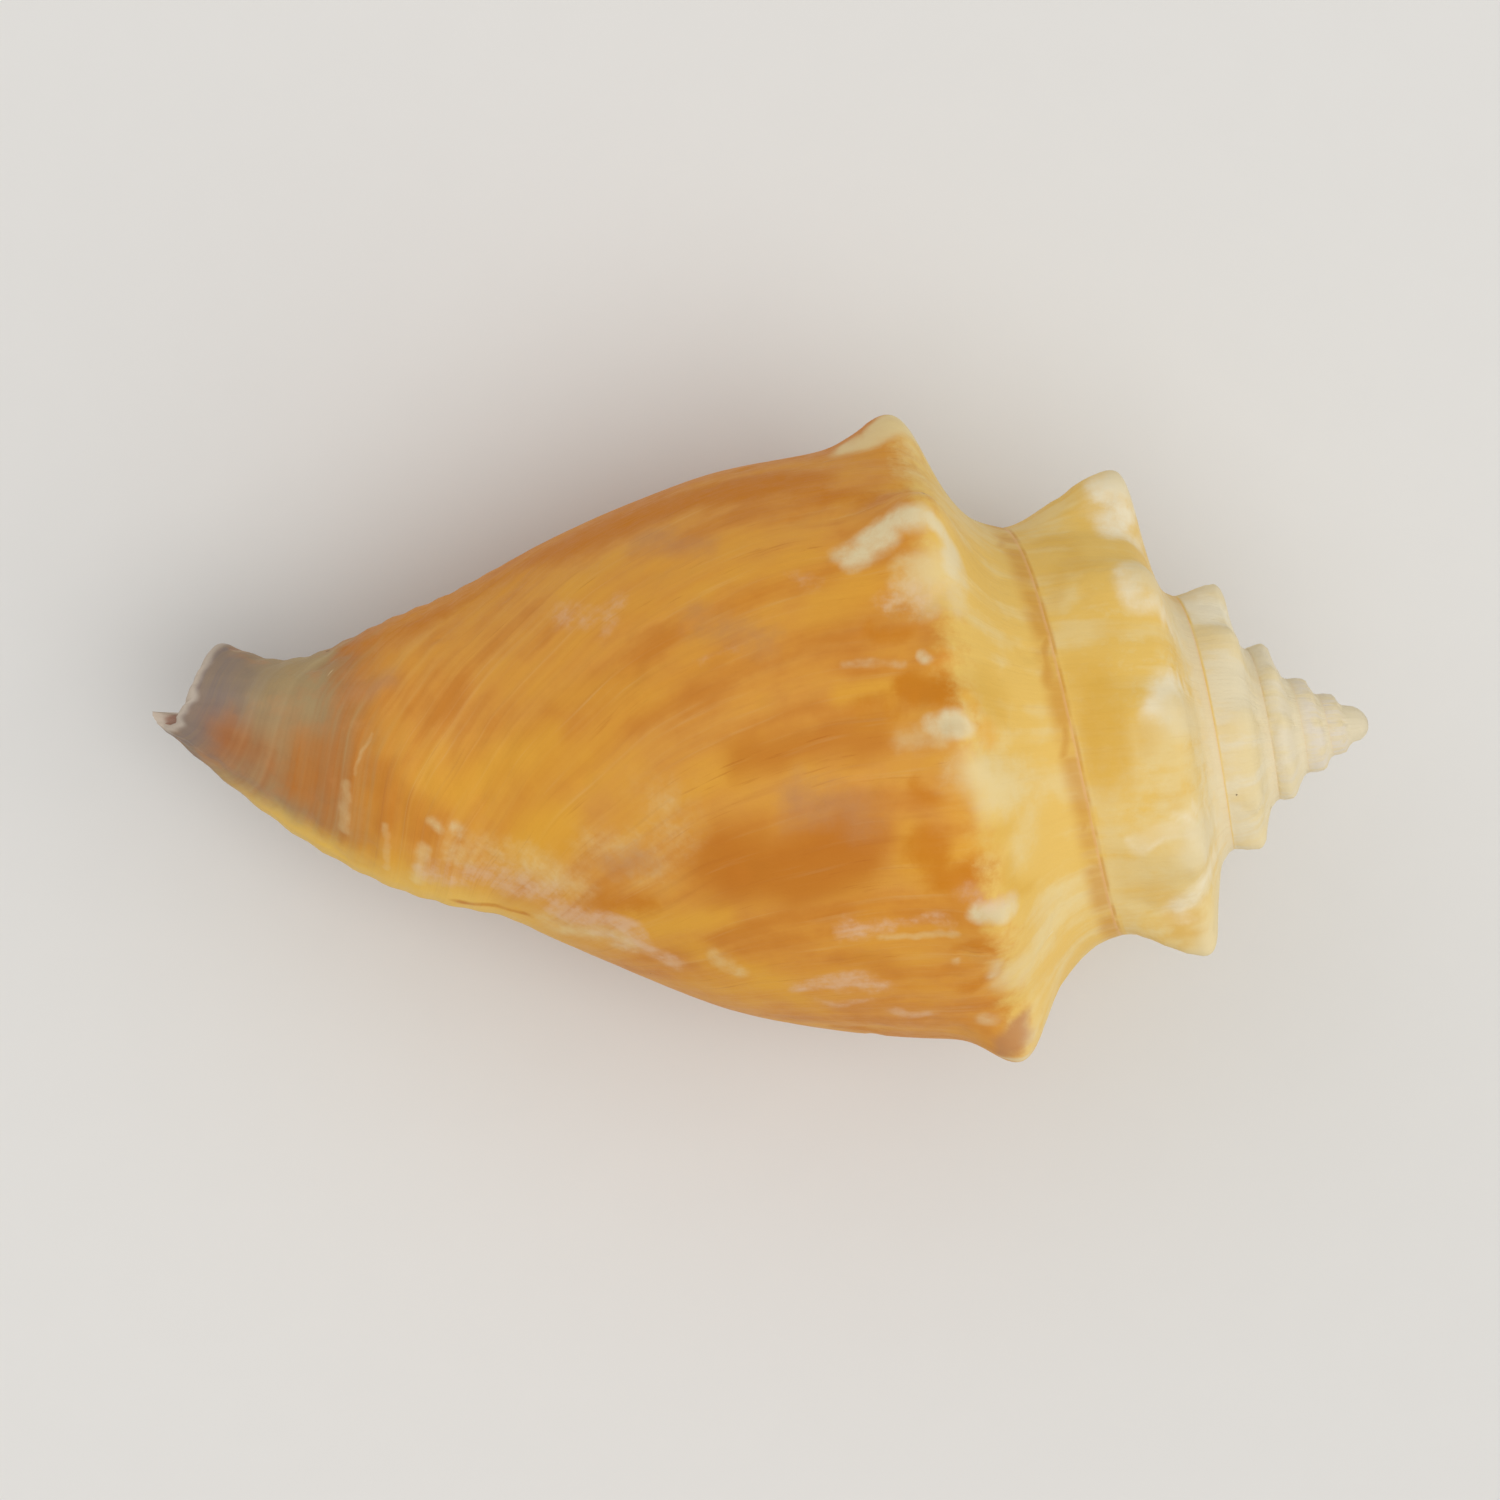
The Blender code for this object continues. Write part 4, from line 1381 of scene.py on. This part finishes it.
def seam_coat(shell, colours, colour):
    """The broken dark band below each seam and the thin line in it."""
    mark = shell.mark
    edge = shell.add(mark["seam"], shell.centred(shell.middle, 0.3))
    blocks = shell.step(shell.streaks(2.6, 60.0, 14.2), 0.36, 0.6, 0.35, 1.0)
    band = shell.times(
        shell.step(edge, 0.36, 0.78), blocks, shell.step(mark["turn"], -1.1, -0.8, 0.05, 0.6)
    )
    drawn_band = shell.times(shell.patch(mark["band"], shell.middle, 0.3, 0.5), 0.75)
    colour = shell.cover(colour, colours.seam_band, shell.greater(band, drawn_band))
    line = shell.times(
        shell.step(mark["seam"], 0.9, 0.99, 0.0, 0.45), shell.step(shell.middle, 0.3, 0.5, 0.5, 1.0),
        shell.step(mark["turn"], -1.5, -0.9, 0.3, 1.0),
    )
    return shell.cover(colour, colours.seam_line, line)


def spine_coat(shell, colours, colour):
    """Pale spines with their cream, gold and olive touches, grey-green painted shade on two knobs, and
    rose places.
    """
    mark = shell.mark
    creamy = shell.times(shell.patch(shell.drawn(FINE_CREAM_MARKS), shell.ragged, 0.45, 0.5), 0.75)
    colour = shell.cover(colour, colours.cream, creamy)
    pale = shell.greater(mark["pale"], shell.drawn(FINE_PALE_MARKS))
    pale = shell.patch(pale, shell.ragged, 0.45, 0.48)
    pale = shell.times(pale, shell.step(shell.grain, 0.3, 0.6, 0.78, 0.97))
    spine = shell.cover(colours.spine_white, colours.pale, shell.on_last())
    colour = shell.cover(colour, spine, pale)
    colour = shell.cover(colour, colours.gold, shell.times(shell.drawn(FINE_GOLD_MARKS), 0.85))
    # grey-green painted shade on two knobs
    colour = shell.cover(colour, colours.olive, shell.times(shell.drawn(FINE_OLIVE_SHADE_MARKS), 0.6))
    rose = shell.times(shell.patch(mark["rose"], shell.ragged, 0.5, 0.45), 0.85)
    colour = shell.cover(colour, colours.rose, rose)
    crest = shell.times(shell.patch(mark["crest"], shell.ragged, 0.9, 0.45), 0.75)
    colour = shell.cover(colour, colours.pale, shell.times(crest, shell.less(1.0, shell.golden)))
    return shell.cover(colour, colours.olive, shell.times(mark["olive"], 0.6)), pale


def chalk_coat(shell, colours, colour):
    """Worn places crossed by the fine growth lines."""
    chalk = shell.patch(shell.mark["chalk"], shell.ragged, 0.8, 0.4)
    crossed = shell.mixture((shell.grain, 0.55), (shell.fine, 0.45))
    chalk = shell.times(chalk, shell.step(crossed, 0.36, 0.6, 0.2, 0.65))
    return shell.cover(colour, colours.chalk, chalk), chalk


def glint_and_pinhole_coat(shell, colours, colour):
    """Small pale specks, painted glints of light, and dark pinholes."""
    stretched = stretch(shell.tree, shell.coil, 1.0, 0.42)
    painted_glints = shell.spots(stretched, 2.2, 0.07)
    # painted highlights: pale specks drawn as small glints along the growth lines
    colour = shell.cover(colour, colours.pale, shell.times(painted_glints, 0.55))
    holes = shell.spots(shell.place, 4.3, 0.055)
    return shell.cover(colour, colours.pinhole, shell.times(holes, 0.55)), holes


def callus_coat(shell, colours, colour):
    """The glaze that spreads over the underside beside the opening."""
    callus = shell.mark["callus"]
    glaze = shell.patch(callus, shell.mottle, 0.35, 0.3)
    tint = place_group(
        shell.tree, shell.groups["glaze"], depth=shell.times(callus, 0.25),
        along=shell.mark["along"], texture=shell.mottle, lip=colours.lip,
        throat=colours.throat, canal=colours.canal, rim=colours.tip,
    )[0]
    return shell.cover(colour, tint, glaze), glaze


def weathered_shell(groups, colours):
    """The outside: tan and gold with growth streaks, pale spines, chalky and worn places."""
    material, tree, shader = new_material("weathered shell")
    shell = Surface(tree, groups)
    colour = last_whorl_coat(shell, colours)
    colour = canal_coat(shell, colours, colour)
    colour = edge_coat(shell, colours, colour)
    colour = spire_coat(shell, colours, colour)
    colour = seam_coat(shell, colours, colour)
    colour, pale = spine_coat(shell, colours, colour)
    colour, chalk = chalk_coat(shell, colours, colour)
    colour, holes = glint_and_pinhole_coat(shell, colours, colour)
    colour, glaze = callus_coat(shell, colours, colour)
    tree.links.new(colour, shader["Base Color"])

    rough = shell.step(shell.ragged, 0.35, 0.65, 0.40, 0.55)
    rough = shell.add(rough, shell.times(chalk, 0.3))
    rough = shell.add(rough, shell.times(pale, 0.06))
    rough = shell.less(rough, shell.times(glaze, 0.18))
    tree.links.new(rough, shader["Roughness"])
    shader["Specular IOR Level"].default_value = 0.14

    waves = shell.times(shell.add(shell.spiral(), shell.centred(shell.grain, 0.8)), math.tau / 0.62)
    threads = calculate(tree, "SINE", waves)
    cut = shell.mixture((shell.fine, 0.05), (shell.hair, 0.016), (shell.grain, 0.04))
    cut = shell.add(cut, shell.times(threads, shell.mark["chalk"], 0.006))
    cut = shell.less(cut, shell.times(holes, 0.15))
    add_bump(tree, shader, shell.times(cut, shell.less(1.0, glaze)))
    return material


def add_bump(tree, shader, height):
    """Fine relief whose height is in millimetres."""
    bump = add_node(
        tree, "ShaderNodeBump", {"Strength": 1.0, "Distance": MILLIMETRE, "Height": height}
    )
    tree.links.new(bump.outputs[0], shader["Normal"])


def aperture_glaze(groups, colours):
    """The inside: smooth enamel, peach at the lip and deeper in the throat."""
    material, tree, shader = new_material("aperture glaze")
    coil, place = shell_places(tree)
    broad = place_group(tree, groups["streaks"], coil=coil, width=6.0, length=30.0, offset=5.0)[0]
    tint = place_group(
        tree, groups["glaze"], depth=read_mark(tree, "lining"), along=read_mark(tree, "along"),
        texture=broad, lip=colours.lip, throat=colours.throat, canal=colours.canal,
        rim=colours.tip,
    )[0]
    tree.links.new(tint, shader["Base Color"])
    cloudy = noise(tree, place, 3.0, 3.0, 0.5)
    tree.links.new(smooth_step(tree, cloudy, 0.3, 0.7, 0.16, 0.30), shader["Roughness"])
    add_bump(tree, shader, calculate(tree, "MULTIPLY", broad, 0.05))
    return material


# ---------------------------------------------------------------- winding the coil


def winding_tree(relief):
    """Geometry Nodes that wind the unrolled sheet, raise its relief and lay it down."""
    tree = bpy.data.node_groups.new("Wind the shell", "GeometryNodeTree")
    sockets = (
        ("Geometry", "NodeSocketGeometry", None),
        ("Ridge height", "NodeSocketFloat", relief.ridge_height / MILLIMETRE),
        ("Ridge width", "NodeSocketFloat", relief.ridge_width / MILLIMETRE),
        ("Cord height", "NodeSocketFloat", relief.cord_height / MILLIMETRE),
        ("Wear depth", "NodeSocketFloat", relief.wear_depth / MILLIMETRE),
        ("Seed", "NodeSocketFloat", 4.0),
        ("Lay down", "NodeSocketVector", [math.radians(angle) for angle in AXIS_DEG]),
        ("Apex", "NodeSocketVector", [value * MILLIMETRE for value in APEX_AT]),
        ("Outside", "NodeSocketMaterial", None),
        ("Inside", "NodeSocketMaterial", None),
    )
    for name, kind, value in sockets:
        socket = tree.interface.new_socket(name, in_out="INPUT", socket_type=kind)
        if value is not None:
            socket.default_value = value
    tree.interface.new_socket("Geometry", in_out="OUTPUT", socket_type="NodeSocketGeometry")
    given = tree.nodes.new("NodeGroupInput").outputs
    out = tree.nodes.new("NodeGroupOutput").inputs

    def mark(name):
        return add_node(
            tree, "GeometryNodeInputNamedAttribute", {"Name": name}, data_type="FLOAT"
        ).outputs["Attribute"]

    unrolled = tree.nodes.new("GeometryNodeInputPosition").outputs[0]
    turn, along, radius = add_node(tree, "ShaderNodeSeparateXYZ", {0: unrolled}).outputs
    bearing = calculate(tree, "MULTIPLY", calculate(tree, "ADD", turn, 0.25), math.tau)
    sideways = calculate(tree, "MULTIPLY", radius, calculate(tree, "SINE", bearing))
    wound = add_node(
        tree,
        "ShaderNodeCombineXYZ",
        {
            0: calculate(tree, "MULTIPLY", along, -1.0),
            1: calculate(tree, "ADD", mark("bend"), sideways),
            2: calculate(tree, "MULTIPLY", radius, calculate(tree, "COSINE", bearing)),
        },
    ).outputs[0]
    shape = add_node(
        tree, "GeometryNodeSetPosition", {"Geometry": given["Geometry"], "Position": wound}
    ).outputs[0]

    growth, spiral = mark("growth"), mark("spiral")
    across = calculate(tree, "DIVIDE", growth, given["Ridge width"])
    down = calculate(tree, "MULTIPLY", spiral, 0.03)
    streak_at = add_node(tree, "ShaderNodeCombineXYZ", {0: across, 1: down, 2: given["Seed"]}).outputs[0]
    ridges = calculate(tree, "SUBTRACT", noise(tree, streak_at, 1.0, 3.0, 0.6), 0.5)
    ridges = calculate(tree, "MULTIPLY", calculate(tree, "MULTIPLY", ridges, 2.0), given["Ridge height"])
    cord_wave = calculate(tree, "COSINE", calculate(tree, "MULTIPLY", spiral, math.tau / CORD_SPACING))
    on_canal = smooth_step(tree, mark("along"), 55.0, 68.0)
    on_spire = smooth_step(tree, mark("turn"), -0.95, -1.1, 0.0, 0.4)
    cords = calculate(tree, "MULTIPLY", cord_wave, calculate(tree, "MAXIMUM", on_canal, on_spire))
    cords = calculate(tree, "MULTIPLY", cords, given["Cord height"])
    position = tree.nodes.new("GeometryNodeInputPosition").outputs[0]
    dents = noise(tree, position, 3.2, 3.0, 0.55)
    dents = calculate(tree, "MULTIPLY", smooth_step(tree, dents, 0.42, 0.3), given["Wear depth"])
    height = calculate(tree, "SUBTRACT", calculate(tree, "ADD", ridges, cords), dents)
    height = calculate(tree, "MULTIPLY", height, mark("relief"))
    smooth_there = calculate(tree, "SUBTRACT", 1.0, mark("callus"))
    height = calculate(tree, "MULTIPLY", height, smooth_there)
    height = calculate(tree, "ADD", height, mark("knob"))
    normal = tree.nodes.new("GeometryNodeInputNormal").outputs[0]
    offset = add_node(
        tree, "ShaderNodeVectorMath", {0: normal, "Scale": height}, operation="SCALE"
    ).outputs[0]
    shape = add_node(
        tree, "GeometryNodeSetPosition", {"Geometry": shape, "Offset": offset}
    ).outputs[0]
    shape = add_node(
        tree,
        "GeometryNodeTransform",
        {
            "Geometry": shape,
            "Translation": given["Apex"],
            "Rotation": given["Lay down"],
            "Scale": (MILLIMETRE,) * 3,
        },
    ).outputs[0]
    resting = tree.nodes.new("GeometryNodeInputPosition").outputs[0]
    resting = add_node(
        tree, "ShaderNodeVectorMath", {0: resting, 1: (-1.0, -1.0, 0.0)}, operation="MAXIMUM"
    ).outputs[0]
    shape = add_node(
        tree, "GeometryNodeSetPosition", {"Geometry": shape, "Position": resting}
    ).outputs[0]
    shape = add_node(tree, "GeometryNodeSetShadeSmooth", {"Geometry": shape}).outputs[0]
    shape = add_node(tree, "GeometryNodeRealizeInstances", {"Geometry": shape}).outputs[0]
    shape = add_node(
        tree, "GeometryNodeSetMaterial", {"Geometry": shape, "Material": given["Outside"]}
    ).outputs[0]
    glazed = add_node(
        tree, "GeometryNodeInputNamedAttribute", {"Name": "glazed"}, data_type="BOOLEAN"
    ).outputs["Attribute"]
    shape = add_node(
        tree,
        "GeometryNodeSetMaterial",
        {"Geometry": shape, "Selection": glazed, "Material": given["Inside"]},
    ).outputs[0]
    tree.links.new(shape, out["Geometry"])
    return tree


def wind(mesh, tree, values):
    """The sheet's mesh after the tree, as a plain mesh."""
    obj = bpy.data.objects.new("unrolled shell", mesh)
    bpy.context.scene.collection.objects.link(obj)
    modifier = obj.modifiers.new("Wind", "NODES")
    modifier.node_group = tree
    for item in tree.interface.items_tree:
        if item.item_type == "SOCKET" and item.in_out == "INPUT" and item.name in values:
            modifier[item.identifier] = values[item.name]
    depsgraph = bpy.context.evaluated_depsgraph_get()
    wound = bpy.data.meshes.new_from_object(
        obj.evaluated_get(depsgraph), preserve_all_data_layers=True, depsgraph=depsgraph
    )
    bpy.data.objects.remove(obj)
    bpy.data.meshes.remove(mesh)
    return wound


# ---------------------------------------------------------------- what a user can change


def length_property(name, description, default):
    return bpy.props.FloatProperty(
        name=name, description=description, default=default, min=0.0, unit="LENGTH", precision=5
    )


def colour_property(name, description, red, green, blue):
    return bpy.props.FloatVectorProperty(
        name=name, description=description, default=paint(red, green, blue), size=4,
        min=0.0, max=1.0, subtype="COLOR",
    )


class ConchRelief(bpy.types.PropertyGroup):
    """Sizes of the fine relief."""

    ridge_height: length_property("Ridge height", "Height of the growth ridges", 0.00005)
    ridge_width: length_property("Ridge width", "Usual width of a growth ridge", 0.0022)
    cord_height: length_property("Cord height", "Height of the spiral cords", 0.00006)
    wear_depth: length_property("Wear depth", "Depth of the worn hollows", 0.00012)


class ConchColours(bpy.types.PropertyGroup):
    """Colours of the shell."""

    body: colour_property("Body", "The last whorl", 210, 138, 46)
    rose_tan: colour_property("Rose tan", "Greyish pink streaks", 212, 148, 70)
    gold: colour_property("Gold", "Golden areas", 225, 165, 54)
    brown_orange: colour_property("Brown orange", "Brownish areas", 189, 112, 28)
    amber: colour_property("Amber", "Darker orange areas", 199, 121, 16)
    line: colour_property("Growth line", "Darkening along growth lines", 200, 152, 100)
    # partly painted light: the thin side's yellow, lightened for light through the thin shell
    thin_edge_painted_light: colour_property("Thin edge", "The thin yellowish side", 236, 192, 86)
    olive: colour_property("Olive", "Where the canal begins", 168, 142, 100)
    brown: colour_property("Brown", "Middle of the canal", 168, 102, 50)
    rose: colour_property("Rose", "Worn pinkish places", 188, 132, 84)
    violet: colour_property("Violet", "Near the canal's end", 134, 118, 108)
    tip: colour_property("Canal tip", "The canal's end", 196, 182, 166)
    ramp: colour_property("Ramp", "The ramp above the spines", 226, 187, 98)
    ramp_gold: colour_property("Ramp gold", "Golden places on the ramps", 214, 166, 62)
    cream: colour_property("Cream", "The second whorl", 226, 206, 152)
    spine_white: colour_property("Spine white", "Worn spines of the spire", 236, 225, 196)
    spire: colour_property("Spire", "The upper whorls", 225, 211, 176)
    apex: colour_property("Apex", "The first whorls", 221, 209, 188)
    seam_band: colour_property("Seam band", "The band below the seam", 197, 134, 44)
    seam_line: colour_property("Seam line", "The thin line in the seam", 228, 180, 128)
    pale: colour_property("Pale", "Spines and pale marks", 224, 206, 162)
    chalk: colour_property("Chalk", "Chalky worn places", 221, 184, 150)
    pinhole: colour_property("Pinhole", "Dark pinholes", 96, 58, 30)
    lip: colour_property("Lip", "The enamel at the lip", 232, 190, 134)
    throat: colour_property("Throat", "The enamel in the throat", 204, 122, 68)
    canal: colour_property("Canal enamel", "The enamel in the canal", 150, 112, 92)


class ConchStage(bpy.types.PropertyGroup):
    """The floor, the light and the camera."""

    floor: colour_property("Floor", "Colour of the floor", 222, 220, 216)
    light: bpy.props.FloatProperty(
        name="Light", description="Strength of the lamps", default=1.0, min=0.0, subtype="FACTOR"
    )
    camera_distance: length_property("Camera distance", "From the shell to the camera", 0.45)
    frame_width: length_property("Frame width", "What the picture spans at the shell", 0.1041)


class CONCH_OT_build_shell(bpy.types.Operator):
    """Build the shell with its relief and materials"""

    bl_idname = "conch.build_shell"
    bl_label = "Build Shell"

    def execute(self, context):
        colours, relief = context.scene.conch_colours, context.scene.conch_relief
        groups = {
            "streaks": growth_streaks(),
            "spots": scattered_spots(),
            "stroke": brush_stroke(),
            "patch": broken_patch(),
            "glaze": glaze_tint(),
        }
        outside = weathered_shell(groups, colours)
        inside = aperture_glaze(groups, colours)
        sheet = Sheet()
        columns, turns = draw_outside(sheet)
        draw_hollow(sheet, columns, turns)
        values = {"Outside": outside, "Inside": inside}
        mesh = wind(sheet_mesh(sheet, coil_marks(sheet)), winding_tree(relief), values)
        if not mesh.polygons:
            raise RuntimeError("the winding tree gave no faces")
        mesh.name = "fighting conch"
        mesh.set_sharp_from_angle(angle=math.radians(48))
        piece = bpy.data.objects.new("fighting_conch", mesh)
        context.scene.collection.objects.link(piece)
        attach(piece, "root")
        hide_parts(SOLID)
        return {"FINISHED"}


class CONCH_OT_build_stage(bpy.types.Operator):
    """Build the floor, the lamps and the camera"""

    bl_idname = "conch.build_stage"
    bl_label = "Build Stage"

    def execute(self, context):
        settings = context.scene.conch_stage
        build_floor(settings)
        light_scene(context.scene, settings)
        place_camera(context.scene, settings)
        context.scene.view_settings.view_transform = "Standard"
        return {"FINISHED"}


def build_floor(settings):
    mesh = bpy.data.meshes.new("floor")
    reach = 3.0
    corners = [(-reach, -reach, 0), (reach, -reach, 0), (reach, reach, 0), (-reach, reach, 0)]
    mesh.from_pydata(corners, [], [(0, 1, 2, 3)])
    floor = bpy.data.objects.new("floor", mesh)
    bpy.context.scene.collection.objects.link(floor)
    material, tree, shader = new_material("floor paper")
    own = add_node(tree, "ShaderNodeTexCoord").outputs["Object"]
    fibre = noise(tree, own, 0.004, 2.0, 0.5)
    shade = [0.985 * value for value in settings.floor[:3]] + [1.0]
    tree.links.new(blend_colours(tree, fibre, settings.floor, shade), shader["Base Color"])
    shader["Roughness"].default_value = 0.9
    shader["Specular IOR Level"].default_value = 0.1
    mesh.materials.append(material)


def light_scene(scene, settings):
    """Wide soft lamps all round; what is seen past the floor has the floor's colour."""
    world = bpy.data.worlds.new("studio")
    world.use_nodes = True
    scene.world = world
    tree = world.node_tree
    light = tree.nodes["Background"]
    light.inputs["Color"].default_value = (1.0, 1.0, 1.0, 1.0)
    light.inputs["Strength"].default_value = WORLD_LIGHT * settings.light
    backdrop = add_node(
        tree, "ShaderNodeBackground", {"Color": settings.floor, "Strength": BACKDROP_LIGHT}
    )
    path = tree.nodes.new("ShaderNodeLightPath").outputs
    seen = calculate(tree, "MAXIMUM", path["Is Camera Ray"], path["Is Glossy Ray"])
    seen = calculate(tree, "MAXIMUM", seen, path["Is Transmission Ray"])
    mixed = add_node(
        tree, "ShaderNodeMixShader", {0: seen, 1: light.outputs[0], 2: backdrop.outputs[0]}
    )
    tree.links.new(mixed.outputs[0], tree.nodes["World Output"].inputs["Surface"])
    for name, source, width, strength in LAMPS:
        lamp = bpy.data.lights.new(name, "SUN")
        lamp.angle = math.radians(width)
        lamp.energy = strength * settings.light
        obj = bpy.data.objects.new(name, lamp)
        obj.rotation_euler = (-Vector(source)).to_track_quat("-Z", "Y").to_euler()
        obj.location = Vector(source)
        scene.collection.objects.link(obj)


def place_camera(scene, settings):
    roll, pitch, yaw = (
        Matrix.Rotation(math.radians(angle), 3, axis) for angle, axis in zip(AXIS_DEG, "XYZ")
    )
    facing = yaw @ pitch @ roll @ yaw.transposed()
    camera = bpy.data.cameras.new("camera")
    camera.sensor_width = 36.0
    camera.lens = 36.0 * settings.camera_distance / settings.frame_width
    camera.clip_start, camera.clip_end = 0.01, 20.0
    obj = bpy.data.objects.new("camera", camera)
    target = Vector(LOOK_AT) * MILLIMETRE
    away = facing @ Vector((0, 0, settings.camera_distance))
    obj.matrix_world = Matrix.Translation(target + away) @ facing.to_4x4()
    scene.collection.objects.link(obj)
    scene.camera = obj


class CONCH_PT_panel(bpy.types.Panel):
    """Conch shell settings"""

    bl_label = "Conch Shell"
    bl_idname = "CONCH_PT_panel"
    bl_space_type = "VIEW_3D"
    bl_region_type = "UI"
    bl_category = "Conch Shell"

    def draw(self, context):
        layout = self.layout
        for group in ("conch_relief", "conch_colours", "conch_stage"):
            settings = getattr(context.scene, group)
            box = layout.box()
            for name in settings.__class__.__annotations__:
                box.prop(settings, name)
        layout.operator(CONCH_OT_build_shell.bl_idname)
        layout.operator(CONCH_OT_build_stage.bl_idname)


CLASSES = (
    ConchRelief,
    ConchColours,
    ConchStage,
    CONCH_OT_build_shell,
    CONCH_OT_build_stage,
    CONCH_PT_panel,
)


def register():
    for cls in CLASSES:
        bpy.utils.register_class(cls)
    bpy.types.Scene.conch_relief = bpy.props.PointerProperty(type=ConchRelief)
    bpy.types.Scene.conch_colours = bpy.props.PointerProperty(type=ConchColours)
    bpy.types.Scene.conch_stage = bpy.props.PointerProperty(type=ConchStage)


def unregister():
    del bpy.types.Scene.conch_stage
    del bpy.types.Scene.conch_colours
    del bpy.types.Scene.conch_relief
    for cls in reversed(CLASSES):
        bpy.utils.unregister_class(cls)


def main():
    register()
    bpy.ops.conch.build_shell()
    bpy.ops.conch.build_stage()


if __name__ == "__main__":
    main()
